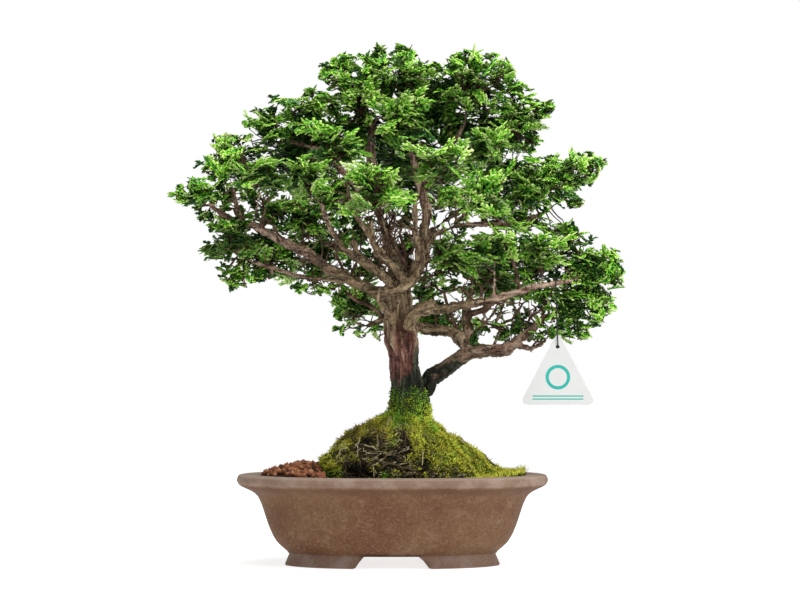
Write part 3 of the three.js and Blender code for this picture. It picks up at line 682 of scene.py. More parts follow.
def soilPlaces(random):
    # where the grains lie: spread evenly over the bed, wherever neither the mound nor moss is
    halfLength, halfWidth = soil["reach"]
    turn = random.uniform(0, 2 * math.pi, 6 * soil["grains"])     # many are tried, since few places are free
    share = np.sqrt(random.uniform(0.12, 1, len(turn)))
    x = share * halfLength * np.cos(turn)
    y = share * halfWidth * np.sin(turn)
    fromMound = np.hypot(x - mound["middle"], y)
    free = fromMound > moundReach(np.arctan2(y, x - mound["middle"]), np.full_like(x, 0.090)) - 0.004
    power = 2 / pot["fullness"]
    inPot = np.abs(x / halfLength) ** power + np.abs(y / halfWidth) ** power < 1
    mossy = (x > soil["mossy"][0]) & (y < soil["mossy"][1])
    chosen = np.flatnonzero(free & inPot & ~mossy)[:soil["grains"]]
    return x[chosen], y[chosen]


def makeSoil():
    # the bed follows the pot's inner wall, and grains of twenty faces lie on it
    around = soil["around"]
    below = [ovalRing(half, level, around) for half, level in soil["bed"]]
    surface = np.stack([ovalRing(half, soil["level"], around) for half in soil["surface"]])
    surface[..., 2] = soilHeight(surface[..., 0], surface[..., 1])
    rings = np.concatenate([below, surface]) + centre
    bed = turned(rings, centre + [0, 0, soil["bed"][0][1]], centre + [0, 0, soil["level"]])
    ball = bmesh.new()
    bmesh.ops.create_icosphere(ball, subdivisions=1, radius=1)
    corners = np.array([v.co for v in ball.verts])
    ballFaces = np.array([[v.index for v in f.verts] for f in ball.faces])
    ball.free()
    random = np.random.default_rng(5)
    x, y = soilPlaces(random)
    count = len(x)
    crumbs = (x > soil["crumbs"][0]) & (y < soil["crumbs"][1])
    size = random.uniform(soil["smallest"], soil["largest"], count) * np.where(crumbs, 0.7, 1)
    z = soilHeight(x, y) + size * random.uniform(-0.1, 0.9, count)
    rough = 1 + 0.22 * random.normal(size=(count, len(corners), 1))
    flat = random.uniform(0.7, 1.1, (count, 1, 3))
    stones = corners[None] * rough * flat * size[:, None, None]
    angle = random.uniform(0, 2 * math.pi, (count, 1))
    stones = np.stack([stones[..., 0] * np.cos(angle) - stones[..., 1] * np.sin(angle),
                       stones[..., 0] * np.sin(angle) + stones[..., 1] * np.cos(angle), stones[..., 2]], -1)
    stones = stones + (np.stack([x, y, z], -1) + centre)[:, None]
    fired = random.beta(2, 2.4, count) * np.where(crumbs, 0.1, 1)
    tone = np.concatenate([np.full(len(bed[0]), 0.04), np.repeat(fired, len(corners))])
    points, faces = joined([bed, (stones.reshape(-1, 3), repeated(ballFaces, count, len(corners)))])
    finishPiece(makeMesh("soil_grains", points, faces, {"tone": tone}), grainFinish(), "akadama", "soil_bed")


def earthFinish():
    # dark peaty soil felted with roots, green where moss begins, and painted near black as shade in the
    # hollows
    finish = Finish("rooty_earth", roughness=0.95, specular=0.15)
    place = finish.place()
    clod = finish.noise(place, 160.0, 5.0, 0.65)
    hair = finish.noise(finish.stretched(place, (1, 1, 0.25)), 620.0, 3.0)
    earth = finish.ramp(clod, (0.38, "0a0a06"), (0.56, "2a2516"), (0.76, "5a4c33"))
    earth = finish.over(earth, hair, 0.56, 0.66, 0.5, "8b7c5e")
    earth = finish.mix(finish.layer("moss") * 0.9, earth, "5f6a1c")
    # near black in the hollows, painted as their shade
    finish.feed("Base Color", finish.mix(finish.layer("hollow") * 0.95, earth, "040503"))
    finish.bump(clod * 0.7 + hair * 0.3, 0.0016)
    return finish


def mossFinish():
    # blades are painted dark at the root as shade deep in the pile, and run from brown olive over lime to
    # fresh green, patch by patch
    finish = Finish("moss_blades", roughness=0.6, specular=0.25)
    tip = finish.layer("tip")
    green = finish.ramp(finish.layer("patch"), (0.0, "6a5726"), (0.2, "a39236"),
                        (0.45, "e9e248"), (0.68, "eef452"), (0.85, "b6dd40"),
                        (1.0, "7cc028"))
    bright = finish.layer("bright")
    green = finish.mix(bright, finish.mix(0.6, green, "161d04"), green)
    # the dark at each blade's root is painted shade
    finish.feed("Base Color", finish.mix(tip, finish.mix(0.68, green, "101803"), green))
    return finish


def barkRootFinish():
    finish = Finish("fine_roots", roughness=0.85, specular=0.2)
    place = finish.place()
    fine = finish.noise(place, 300.0, 4.0)
    tone = finish.layer("tone")
    brown = finish.ramp(fine * 0.4 + tone * 0.6, (0.2, "130f0a"), (0.48, "54462f"),
                        (0.82, "bfb18c"))
    finish.feed("Base Color", brown)
    finish.bump(fine, 0.0004)
    return finish


def mossCover(points):
    # how much moss grows: all of the right side and the top, little on the dark root face at the front left
    places = points - centre
    x, y, z = places.T
    edge = x - 0.9 * np.clip(0.122 - z, 0, 0.02)
    bare = smoothstep(-edge, -0.014, 0.004) * smoothstep(-y, -0.010, 0.014)
    bare = bare * smoothstep(0.134 - z, 0.0, 0.012)
    foot = smoothstep(-x, 0.043, 0.052) * smoothstep(0.108 - z, 0.0, 0.008)
    patches = smoothstep(ripples(points, 0.022, 31), 0.35, 0.9)
    litter = smoothstep(-y, 0.02, 0.05) * smoothstep(x, 0.0, 0.02) * smoothstep(0.098 - z, 0, 0.008)
    grown = 1 - 0.95 * bare + foot + 0.6 * bare * patches - 0.5 * litter
    grown = grown + 0.9 * spotted(places, mound["greenSpots"])
    return np.clip(grown * (1 - hollowness(places)), 0.02, 1)


def makeMound():
    around = mound["around"]
    levels = np.linspace(mound["reach"][0][0], mound["reach"][-1][0], mound["rings"])
    rings, _ = moundPoint(*np.meshgrid(anglesRound(around), levels))
    sunk = np.concatenate([0.8 * rings[:1, :, :2], np.full((1, around, 1), mound["bottom"])], 2)
    rings = np.concatenate([sunk, rings]) + centre
    low, high = (centre + [mound["middle"], 0, mound[end]] for end in ("bottom", "summit"))
    points, faces = turned(rings, low, high)
    layers = {"moss": mossCover(points), "hollow": hollowness(points - centre)}
    finishPiece(makeMesh("mound_earth", points, faces, layers), earthFinish(), "root_soil", "root_mound")


def blades(places, leans, lengths, widths, random):
    # each blade is a thin three-sided spike
    across = unit(np.cross(leans, random.normal(size=leans.shape)))
    above = np.cross(leans, across)
    turn = anglesRound(3)[None, :, None]
    ring = across[:, None] * np.cos(turn) + above[:, None] * np.sin(turn)
    foot = places[:, None] + ring * widths[:, None, None] - 0.0004 * leans[:, None]
    points = np.concatenate([foot, (places + leans * lengths[:, None])[:, None]], 1)
    faces = np.array([[0, 1, 3], [1, 2, 3], [2, 0, 3], [0, 2, 1]])
    return points.reshape(-1, 3), repeated(faces, len(places), 4)


def moundTufts(random):
    # cushions of blades that splay from a tuft's middle, thick where the moss grows thick
    many = 3 * mound["tufts"]
    turn = random.uniform(0, 2 * math.pi, many)
    level = random.uniform(0.080, 0.150, many)
    middles, _ = moundPoint(turn, level)
    rightEdge = 0.6 * hump((level, 0.106, 0.010)) * smoothstep(middles[:, 0], 0.06, 0.08)
    thick = moundReach(turn, level) / 0.085 + rightEdge
    grows = random.uniform(0, 1, many) < mossCover(middles + centre) * thick
    turn, level = turn[grows][:mound["tufts"], None], level[grows][:mound["tufts"], None]
    spread = random.normal(0, mound["tuftSize"], (2, len(turn), mound["tuftBlades"]))
    places, outwards = moundPoint(turn + spread[0] / moundReach(turn, level), level + 0.8 * spread[1])
    aside = np.stack([-np.sin(turn), np.cos(turn), np.zeros_like(turn)], -1)
    splay = (aside * spread[0][..., None] + np.array([0, 0, 1.0]) * spread[1][..., None]) / mound["tuftSize"]
    leans = unit(0.65 * outwards + 0.34 * splay + 0.5 * random.normal(size=places.shape) * [1.2, 1, 0.6])
    raised = mound["tuftHeight"] * np.exp(-(spread ** 2).sum(0) / (2 * mound["tuftSize"] ** 2))
    bright = random.uniform(0.0, 1.4, turn.shape) * (0.75 + 0.25 * raised / mound["tuftHeight"])
    return [values.reshape(-1, values.shape[-1]) if values.ndim == 3 else values.ravel()
            for values in (places + centre + outwards * raised[..., None], leans, bright)]


def groundMoss(random):
    # blades on the soil at the right, fewer towards the pot's wall
    tried = mound["groundTries"]
    x, y = random.uniform(0.070, 0.132, tried), random.normal(-0.005, 0.036, tried)
    grows = np.abs(x / 0.133) ** 2.3 + np.abs(y / 0.089) ** 2.3 < 1
    grows &= random.uniform(0, 1, tried) < smoothstep(0.152 - x - 0.4 * np.abs(y), 0, 0.03)
    return np.stack([x, y, soilHeight(x, y) + 0.002], -1)[grows][:mound["soilBlades"]] + centre


def barkMoss(places, random):
    # which points of the bark bear a blade: on the foot of the trunk and on the roots
    x, y, z = (places - centre).T
    near = (np.hypot(x - 0.018, y) < 0.042) & (z > 0.130) & (x < 0.0335 + 0.5 * np.maximum(0.165 - z, 0))
    weight = near * (1 - smoothstep(z, 0.164 + 0.006 * ripples(places, 0.02, 3), 0.178))
    weight = np.maximum(weight, (z <= 0.150) * mossCover(places))
    return random.choice(len(places), mound["barkBlades"], p=weight / weight.sum())


def mossPatches(places, random):
    # 0 is brown olive, as left of the top, and 1 fresh green, as on the top and low at the left
    x, _, z = (places - centre).T
    fresh = smoothstep(z, 0.120, 0.150) * (1 - 0.75 * smoothstep(x, 0.022, 0.045))
    fresh = np.maximum(fresh, smoothstep(0.100 - z, 0, 0.012) * smoothstep(-x, 0.03, 0.06))
    fresh = np.maximum(fresh, spotted(places - centre, mound["greenSpots"]))
    olive = smoothstep(-x, -0.005, 0.012) * smoothstep(z, 0.112, 0.126) * (1 - smoothstep(z, 0.140, 0.148))
    patch = 0.56 + 0.4 * fresh - 0.5 * olive + 0.13 * ripples(places, 0.02, 41)
    return np.clip(patch + 0.08 * random.normal(size=len(x)), 0, 1)


def makeMoss(barkPlaces, barkNormals):
    random = np.random.default_rng(8)
    onMound, moundLeans, moundBright = moundTufts(random)
    ground = groundMoss(random)
    chosen = barkMoss(barkPlaces, random)
    low = np.concatenate([ground, barkPlaces[chosen]])
    places = np.concatenate([onMound, low])
    upright = unit(np.array([0, 0, 1.0]) + 0.5 * random.normal(size=ground.shape))
    climbing = unit(barkNormals[chosen] + [0, 0, 0.2] + 0.45 * random.normal(size=(len(chosen), 3)))
    leans = np.concatenate([moundLeans, upright, climbing])
    scattered = 0.5 + 0.65 * ripples(low, 0.006, 61) + 0.5 * smoothstep(low[:, 0] - centre[0], 0.016, 0.034)
    scattered -= 0.25 * smoothstep(centre[0] - low[:, 0], -0.014, 0.002)
    x, _, z = (places - centre).T
    lengths = mound["bladeLength"] * random.uniform(0.45, 1.2, len(places)) * (1 - 0.35 * (z > 0.145))
    lengths *= 1 + 0.9 * hump((x, 0.129, 0.005))
    widths = random.uniform(*mound["bladeWidth"], len(places))
    points, faces = blades(places, leans, lengths, widths, random)
    bright = np.concatenate([moundBright, scattered]) + 0.4 * smoothstep(-x, 0.03, 0.05)
    layers = {"tip": np.tile([0, 0, 0, 1], len(places)), "patch": np.repeat(mossPatches(places, random), 4),
              "bright": np.repeat(np.clip(bright, 0, 1), 4)}
    finishPiece(makeMesh("moss", points, faces, layers), mossFinish(), "root_soil")


def onFront(way, steps):
    # a way over the mound's front, from (across, height) to its turn round the mound and its height
    x, level = smoothLine(way, steps).T
    left, right, side = moundHalves(level)
    along = np.where(x > mound["middle"], right, left)
    share = np.clip((x - mound["middle"]) / along, -0.98, 0.98)
    return np.arctan2(-side * np.sqrt(1 - share ** 2), along * share), level


def makeMoundRoots():
    # stout, fine, pale and dark roots wander down over the mound, mostly at the front left
    random = np.random.default_rng(12)
    steps, sides = 8, 3
    share = np.linspace(0, 1, steps)[None]
    groups, parts, tones = [], [], []
    for count, turns, levels, falls, radii, tone, wander in rootKinds:
        start, top, fall, thick, shade = (random.uniform(*span, (count, 1))
                                          for span in (np.radians(turns), levels, falls, radii, tone))
        drift = np.cumsum(random.normal(0, 0.3 * wander, (count, steps)), 1)
        turn = start + drift + random.normal(0, wander, (count, 1)) * share
        level = np.maximum(top - fall * share + random.normal(0, 0.0007, (count, steps)), 0.0862)
        bow = 0.0016 * random.uniform(-0.3, 1, (count, 1))
        bow = bow * np.sin(math.pi * share * random.uniform(0.7, 2.3))
        groups.append((turn, level, thick, shade, bow))
    turns, levels = (np.array(rows) for rows in zip(*(onFront(way, steps) for *_, way in frontRoots)))
    thick, shade = (np.array([row[i] for row in frontRoots])[:, None] for i in (0, 1))
    levels = levels + random.normal(0, 0.0004, levels.shape)
    groups.append((turns, levels, thick, shade, 0.0006 + 0.001 * random.uniform(0, 1, levels.shape)))
    for turn, level, thick, shade, bow in groups:
        places, _ = moundPoint(turn, level, mound["thinner"] * 0.35 + 0.5 * thick + bow)
        points, faces = tubes(places + centre, thick * (1 - 0.55 * share), sides)
        parts.append((points, faces))
        shade = np.repeat(shade[:, 0], steps * sides + 2)
        # roots below the palest are painted darker where they cross the hollows, as the hollows' shade
        tones.append(shade * (1 - 0.85 * hollowness(points - centre) * (shade < 0.9)))
    piece = makeMesh("mound_roots", *joined(parts), {"tone": np.concatenate(tones)})
    finishPiece(piece, barkRootFinish(), "bark")


makeSoil()
makeMound()
makeMoundRoots()


# wood

wood = {
    "voxel": 0.0016, "rounding": 15, "pulls": (0.6, -0.61),
    "grainSpread": 18, "combing": 10, "broadening": 5, "broadCombing": 30,
    "fibre": 0.0003, "trunkFibre": 0.0003, "strip": 0.0012, "knobs": 0.0009, "lumps": 0.0011,
    "limbSteps": 14, "limbSides": 12, "trunkWidth": (0.019, 0.026), "trunkTop": (0.262, 0.280),
    # the trunk's middle, as (height, across)
    "trunkLine": [(0.100, 0.018), (0.147, 0.0185), (0.173, 0.0125), (0.219, 0.0095), (0.240, 0.006),
                  (0.275, 0.005)],
    # limbs made stouter or slimmer: by how much, across and half width, height and half height
    "stouter": [(0.0016, 0.077, 0.012, 0.235, 0.022), (0.0024, 0.118, 0.018, 0.209, 0.010)],
    "slimmer": [(0.0035, 0.050, 0.012, 0.341, 0.011), (0.0012, 0.172, 0.010, 0.348, 0.012)],
}


# limbs at the forks, grown into the wood's skin: first and last radius, and way (across, depth, height)
limbs = [
    (0.0054, 0.0046, [(-0.014, -0.018, 0.27), (-0.004, -0.022, 0.269), (0.008, -0.024, 0.2715),
                      (0.02, -0.022, 0.281), (0.0275, -0.018, 0.296), (0.027, -0.012, 0.315)]),
    (0.004, 0.003, [(0.0, -0.023, 0.276), (-0.013, -0.026, 0.288), (-0.025, -0.027, 0.298),
                    (-0.0345, -0.026, 0.305), (-0.0385, -0.024, 0.32)]),
    (0.0037, 0.0025, [(0.011, -0.024, 0.28), (0.003, -0.027, 0.291), (-0.005, -0.028, 0.3),
                      (-0.0125, -0.028, 0.308), (-0.0185, -0.027, 0.319), (-0.0235, -0.026, 0.334)]),
    (0.003, 0.0036, [(-0.003, -0.018, 0.246), (-0.01, -0.021, 0.254), (-0.015, -0.02, 0.268)]),
    (0.0056, 0.0056, [(0.013, -0.018, 0.232), (0.018, -0.021, 0.243), (0.029, -0.021, 0.2525),
                      (0.043, -0.021, 0.2575)]),
    (0.0042, 0.006, [(0.0705, 0.014, 0.2262), (0.0605, 0.014, 0.231), (0.0475, 0.013, 0.2325),
                     (0.0315, 0.01, 0.234), (0.017, 0.004, 0.2395)]),
    (0.0042, 0.0042, [(0.027, -0.002, 0.16), (0.034, -0.002, 0.17), (0.04, 0.0, 0.181)]),
]


def remeshed(name, voxel):
    # a copy of the node's loose triangles, merged, joined with the small limbs and made one even skin
    shape = bmesh.new()
    shape.from_mesh(nodes[name].data)
    bmesh.ops.remove_doubles(shape, verts=shape.verts, dist=0.00002)
    mesh = bpy.data.meshes.new(name + "_skin")
    shape.to_mesh(mesh)
    shape.free()
    mesh.calc_loop_triangles()
    whole = fetch(mesh.vertices, "co", 3), fetch(mesh.loop_triangles, "vertices", 3, np.int32)
    steps = wood["limbSteps"]
    lines = np.array([smoothLine(way, steps) for *_, way in limbs]) + centre
    radii = np.array([np.linspace(first, last, steps) for first, last, _ in limbs])
    rough = makeMesh(name + "_skin", *joined([whole, tubes(lines, radii, wood["limbSides"])]))
    skin = rough.modifiers.new("skin", "REMESH")
    skin.mode, skin.voxel_size = "VOXEL", voxel
    even = applied(rough)
    bpy.data.objects.remove(rough)
    return even


def neighbourMean(values, weights, edges):
    # weighted mean of the values at each point's neighbours
    a, b = edges.T
    count = len(values)
    total = np.bincount(a, weights, count) + np.bincount(b, weights, count)
    columns = values.reshape(count, -1)
    summed = np.stack([np.bincount(a, weights * column[b], count) + np.bincount(b, weights * column[a], count)
                       for column in columns.T], -1)
    return (summed / np.maximum(total, 1e-12)[:, None]).reshape(values.shape)


def barkFinish():
    # limbs are tan to grey and pitted, the trunk's front red brown in strips, its foot black green, with
    # painted shade on undersides, in the crotch behind the front limbs and in the crown's top
    finish = Finish("bark", specular=0.2)
    place = finish.place()
    fibre, strip, red, damp, grown, green = (
        finish.layer(name) for name in ("fibre", "strip", "red", "damp", "limb", "green"))
    blotch = finish.noise(place, 60.0, 5.0, 0.6)
    fine = finish.noise(place, 480.0, 4.0, 0.65)
    pits = finish.noise(place, 260.0, 2.0)
    shade = fibre * 0.5 + strip * 0.2 + blotch * 0.35 + fine * 0.35
    limb = finish.ramp(shade, (0.42, "251c13"), (0.62, "5e4d37"), (0.8, "8b7759"),
                       (1.0, "b8a68a"))
    outer = finish.ramp(shade, (0.42, "1e120d"), (0.64, "5c4234"), (0.9, "b09682"))
    limb = finish.mix(grown, limb, outer)
    flecks = finish.noise(place, 950.0, 2.0)
    limb = finish.over(limb, flecks, 0.56, 0.68, 0.45, "c8b4a4")
    strips = finish.ramp(shade, (0.4, "24150f"), (0.62, "4d2f25"), (0.82, "755046"),
                         (1.0, "ac9080"))
    dark = finish.ramp(shade, (0.45, "080a06"), (0.7, "1a1e15"), (1.0, "4f5240"))
    bark = finish.mix(red, limb, strips)
    # darkened where the foot is damp and where shade is painted
    bark = finish.mix(damp, bark, dark)
    bark = finish.mix(green * 0.8, bark, finish.mix(fine, "1d260b", "46541a"))
    bark = finish.mix((1 - finish.mask(pits, 0.36, 0.44)) * 0.7, bark, "120c08")
    finish.feed("Base Color", bark)
    finish.feed("Roughness", 0.75 + 0.2 * fine)
    finish.bump(fibre * 0.35 + fine * 0.35 + pits * 0.3, 0.0022)
    return finish


def evened(values, weights, edges, times, kept):
    # each value drawn towards the mean of its neighbours, over and over
    for step in range(times):
        values = kept * values + (1 - kept) * neighbourMean(values, weights, edges)
    return values


def combedNoise(points, normals, edges):
    # fine fibres and broad strips: noise combed along the grain, which runs where the skin curves least
    even = np.ones(len(edges))
    tensor = evened(normals[:, :, None] * normals[:, None, :], even, edges, wood["grainSpread"], 0.5)
    grain = np.linalg.eigh(tensor)[1][:, :, 0]
    along = unit(points[edges[:, 1]] - points[edges[:, 0]])
    match = np.abs((along * grain[edges[:, 0]]).sum(-1)) * np.abs((along * grain[edges[:, 1]]).sum(-1))
    weights = match ** 3 + 1e-4
    random = np.random.default_rng(17)
    fibre = random.normal(size=len(points))
    strip = evened(random.normal(size=len(points)), even, edges, wood["broadening"], 0)
    fibre = evened(fibre, weights, edges, wood["combing"], 0.3)
    strip = evened(strip, weights, edges, wood["broadCombing"], 0.3)
    return fibre / fibre.std(), strip / strip.std()


def barkRelief(points, trunk, fibre, strip, foot):
    # how far the skin is raised: fibres, strips and knobs, and limbs made stouter or slimmer
    x, y, z = (points - centre).T
    raised = fibre * (wood["fibre"] + wood["trunkFibre"] * trunk) + strip * wood["strip"] * trunk
    knobs = np.abs(ripples(points, 0.012, 52)) + 0.7 * np.abs(ripples(points, 0.0055, 53)) - 0.6
    knobs *= wood["knobs"] * smoothstep(z, 0.150, 0.175) * (1 - 0.6 * trunk)
    stout = sum(rise * hump((x, across, width), (z, level, tall))
                for rise, across, width, level, tall in wood["stouter"])
    stout += trunk * smoothstep(-x, -0.006, 0.0) * (
        0.0003 + 0.0045 * hump((z, 0.225, 0.0085)) - 0.0016 * hump((z, 0.205, 0.008)))
    slim = 0.0008 * trunk * smoothstep(z, 0.178, 0.190)
    slim = slim + 0.0052 * hump((x, -0.010, 0.013), (z, 0.330, 0.042)) * (y > -0.021)
    for fall, across, width, level, tall in wood["slimmer"]:
        slim = slim + fall * hump((x, across, width), (z, level, tall))
    slim = slim + 0.0014 * trunk * smoothstep(x, 0.018, 0.022) * hump((z, 0.224, 0.006))
    lumps = wood["lumps"] * trunk * ripples(points, 0.030, 51)
    return raised + knobs + lumps - slim + stout + 0.0011 * foot


def sunkIntoMoss(points, x, y, z):
    # the roots on the mound are drawn in until they lie in its moss
    fromAxis = np.maximum(np.hypot(x - mound["middle"], y), 1e-6)
    surface = moundReach(np.arctan2(y, x - mound["middle"]), np.minimum(z, 0.151)) - mound["thinner"] - 0.001
    inwards = np.minimum(1, np.maximum(surface, 0.0235) / fromAxis)
    inwards = 1 - (1 - inwards) * (1 - smoothstep(z, 0.144, 0.156))
    points[:, 0] += (inwards - 1) * (x - mound["middle"])
    points[:, 1] += (inwards - 1) * y


def barkLayers(x, y, z, normals, trunk, fibre, strip):
    # where the bark is red, damp at its foot, in painted shade, limb brown or green
    ragged = 0.006 * strip + 0.004 * fibre
    red = trunk * smoothstep(z, 0.176, 0.182) * (1 - smoothstep(z + ragged, 0.222, 0.240))
    low = 0.178 + 0.022 * smoothstep(x, 0.003, 0.015) + ragged
    damp = 1 - smoothstep(z, low - 0.004, low + 0.004)
    # undersides darkened as painted shade
    damp = np.maximum(damp, 0.35 * smoothstep(-normals[:, 2], 0.2, 0.9))
    # painted shade in the crotch behind the front limbs, and on the wood in the crown's top
    crotch = hump((x, -0.005, 0.012), (z, 0.297, 0.009)) * smoothstep(y, -0.023, -0.018)
    damp = np.maximum(damp, np.maximum(0.85 * crotch, 0.5 * smoothstep(z, 0.385, 0.440)))
    grown = smoothstep(np.hypot(x - 0.005, z - 0.27), 0.05, 0.12)
    green = 1 - smoothstep(z + 0.3 * ragged, 0.158, 0.174)
    return {"fibre": 0.5 + 0.2 * fibre, "strip": 0.5 + 0.2 * strip, "red": red, "damp": damp, "limb": grown,
            "green": green}


def makeWood():
    # the skin is rounded, then raised; x, y and z stay the places that its points had before that
    mesh = remeshed("tree_wood", wood["voxel"])
    points = fetch(mesh.vertices, "co", 3).astype(float)
    edges = fetch(mesh.edges, "vertices", 2, np.int32)
    for step in range(wood["rounding"]):
        means = neighbourMean(points, np.ones(len(edges)), edges)
        points += wood["pulls"][step % 2] * (means - points)
    mesh.vertices.foreach_set("co", points.astype(np.float32).ravel())
    mesh.update()
    normals = fetch(mesh.vertex_normals, "vector", 3).astype(float)
    fibre, strip = combedNoise(points, normals, edges)
    x, y, z = (points - centre).T
    lineZ, lineX = np.array(wood["trunkLine"]).T
    fromTrunk = np.hypot(x - np.interp(z, lineZ, lineX), y)
    trunk = (1 - smoothstep(fromTrunk, *wood["trunkWidth"])) * (1 - smoothstep(z, *wood["trunkTop"]))
    foot = smoothstep(x, 0.020, 0.036) * (1 - smoothstep(x, 0.074, 0.112)) * (1 - smoothstep(z, 0.214, 0.232))
    foot *= smoothstep(z, 0.150, 0.162)
    points += normals * barkRelief(points, trunk, fibre, strip, foot)[:, None]
    points[:, 0] += 0.0026 * trunk * smoothstep(z, 0.150, 0.180) * (1 - smoothstep(z, 0.225, 0.250))
    flare = 0.0022 * smoothstep(x, 0.020, 0.034) * smoothstep(z, 0.140, 0.148)
    points[:, 0] -= flare * (1 - smoothstep(z, 0.160, 0.172))
    points[:, 2] -= foot * (0.0028 + 0.0012 * hump((x, 0.053, 0.010)) - 0.0020 * hump((x, 0.035, 0.008)))
    sunkIntoMoss(points, x, y, z)
    mesh.vertices.foreach_set("co", points.astype(np.float32).ravel())
    mesh.polygons.foreach_set("use_smooth", np.full(len(mesh.polygons), True))
    addLayers(mesh, barkLayers(x, y, z, normals, trunk, fibre, strip))
    mesh.update()
    finishPiece(addObject("bark", mesh), barkFinish(), "bark", "tree_wood")
    return points, normals


barkPlaces, barkNormals = makeWood()
makeMoss(barkPlaces, barkNormals)


# foliage

foliage = {
    "fronds": 1930, "innerFronds": 1200, "betweenFronds": 580, "deepFronds": 1050,
    "shortest": 0.0205, "longest": 0.0300, "reachPast": 0.09, "drawnIn": 0.95,
    "shoots": 7, "oldShoots": 5, "stemWidth": 0.0016, "branchletWidth": 0.0045, "oldWidth": 0.0056,
    "thickness": 0.5, "cup": 0.16, "droop": 0.14,
    # which way a frond points and faces: as the surface does, outwards, upwards, and by chance
    "ahead": (0.45, 0.6, 0.12, 0.36), "face": (0.42, 0.3, 0.6, 0.27),
}
# where the light shows between the sprays, seen from the front: across, height, half of width and height
openings = [
    (0.097, 0.225, 0.008, 0.008), (0.1145, 0.2495, 0.0065, 0.0065), (0.1255, 0.26, 0.0045, 0.0035),
    (0.083, 0.3305, 0.013, 0.003), (0.05, 0.338, 0.005, 0.0095), (-0.102, 0.369, 0.0085, 0.005),
    (-0.171, 0.3595, 0.0085, 0.005), (-0.1495, 0.3595, 0.0055, 0.0045), (-0.144, 0.349, 0.0055, 0.008),
    (-0.185, 0.4125, 0.0085, 0.0075), (0.1985, 0.37, 0.009, 0.0085), (0.157, 0.428, 0.007, 0.012),
    (0.204, 0.2285, 0.006, 0.006), (0.197, 0.2205, 0.006, 0.004), (-0.045, 0.2235, 0.009, 0.005),
    (-0.049, 0.24, 0.01, 0.0055), (0.0735, 0.281, 0.004, 0.003), (-0.072, 0.266, 0.005, 0.004),
    (-0.1235, 0.46, 0.008, 0.0035), (-0.1105, 0.2665, 0.006, 0.0055), (-0.14, 0.2735, 0.004, 0.004),
    (-0.071, 0.257, 0.0065, 0.008), (-0.021, 0.239, 0.011, 0.005), (0.139, 0.4685, 0.005, 0.0035),
    (0.1135, 0.409, 0.011, 0.0075), (0.1295, 0.403, 0.007, 0.0065), (-0.0385, 0.5155, 0.006, 0.0065),
    (-0.1225, 0.4725, 0.005, 0.003), (0.028, 0.509, 0.0065, 0.006), (0.0505, 0.5045, 0.0065, 0.0055),
    (0.097, 0.514, 0.008, 0.003), (0.1225, 0.488, 0.003, 0.006), (0.1445, 0.47, 0.007, 0.004),
    (0.16, 0.447, 0.003, 0.005), (-0.192, 0.3855, 0.005, 0.006), (-0.214, 0.38, 0.007, 0.003),
    (-0.2165, 0.3595, 0.006, 0.0045), (-0.148, 0.444, 0.006, 0.003), (-0.1365, 0.4265, 0.004, 0.004),
    (-0.19, 0.306, 0.007, 0.005), (-0.1715, 0.33, 0.003, 0.004), (-0.114, 0.281, 0.008, 0.008),
    (-0.103, 0.269, 0.006, 0.007), (0.233, 0.308, 0.003, 0.005), (0.215, 0.242, 0.005, 0.006),
    (-0.0065, 0.5185, 0.0045, 0.0065), (-0.07, 0.4735, 0.0075, 0.003), (-0.145, 0.448, 0.0075, 0.006),
    (0.149, 0.427, 0.005, 0.006), (0.1455, 0.4165, 0.005, 0.0035), (0.155, 0.468, 0.005, 0.006),
    (0.179, 0.4135, 0.0075, 0.005), (0.201, 0.4165, 0.0065, 0.004), (0.184, 0.3545, 0.007, 0.003),
    (0.196, 0.333, 0.012, 0.0055), (0.219, 0.317, 0.013, 0.006), (0.2295, 0.2805, 0.005, 0.008),
    (-0.206, 0.385, 0.01, 0.0045), (-0.198, 0.35, 0.006, 0.007), (-0.189, 0.333, 0.004, 0.007),
    (-0.174, 0.298, 0.005, 0.0035), (-0.0185, 0.336, 0.005, 0.0045), (-0.014, 0.395, 0.0085, 0.005),
    (-0.021, 0.427, 0.004, 0.006), (0.0785, 0.477, 0.006, 0.004), (-0.04, 0.4745, 0.004, 0.004),
    (0.08, 0.342, 0.008, 0.0035), (0.061, 0.266, 0.0045, 0.0045), (0.048, 0.276, 0.005, 0.004),
    (-0.087, 0.2945, 0.0055, 0.0035), (-0.0665, 0.288, 0.0055, 0.0025), (0.1915, 0.3755, 0.006, 0.0045),
    (-0.154, 0.273, 0.007, 0.004), (-0.075, 0.268, 0.012, 0.002), (-0.006, 0.508, 0.003, 0.004),
    (0.003, 0.516, 0.0025, 0.0035), (-0.0475, 0.511, 0.006, 0.0025),
]
# where the sprays lie in shade, or more open and lit where negative, seen from the front: across, height,
# half of the width and height, and how much
shadePlaces = [
    (-0.165, 0.311, 0.034, 0.014, 0.6), (-0.085, 0.308, 0.02, 0.012, 0.25),
    (-0.04, 0.26, 0.014, 0.012, 0.35), (0.162, 0.26, 0.028, 0.013, 0.4), (0.185, 0.236, 0.026, 0.012, 0.4),
    (-0.102, 0.384, 0.03, 0.014, 0.5), (0.01, 0.434, 0.014, 0.014, 0.45), (0.01, 0.46, 0.013, 0.012, 0.45),
    (0.185, 0.359, 0.014, 0.013, 0.35), (0.06, 0.384, 0.013, 0.012, 0.4), (-0.152, 0.334, 0.03, 0.012, 0.2),
    (0.06, 0.434, 0.014, 0.014, -0.5), (0.135, 0.384, 0.014, 0.014, -0.5),
    (-0.014, 0.384, 0.04, 0.012, -0.15), (0.12, 0.347, 0.035, 0.014, -0.15),
]
# the rings of a shoot: how far along they stand, their width to the left and the right, and their thickness
comb = np.array([(0.16, 0.2, 1.1, 0.9), (0.38, 1.15, 0.25, 1.0), (0.60, 0.25, 1.15, 1.0),
                 (0.83, 1.0, 0.45, 0.8)])
spindle = np.array([(0.6, 1.0, 1.0, 1.0)])
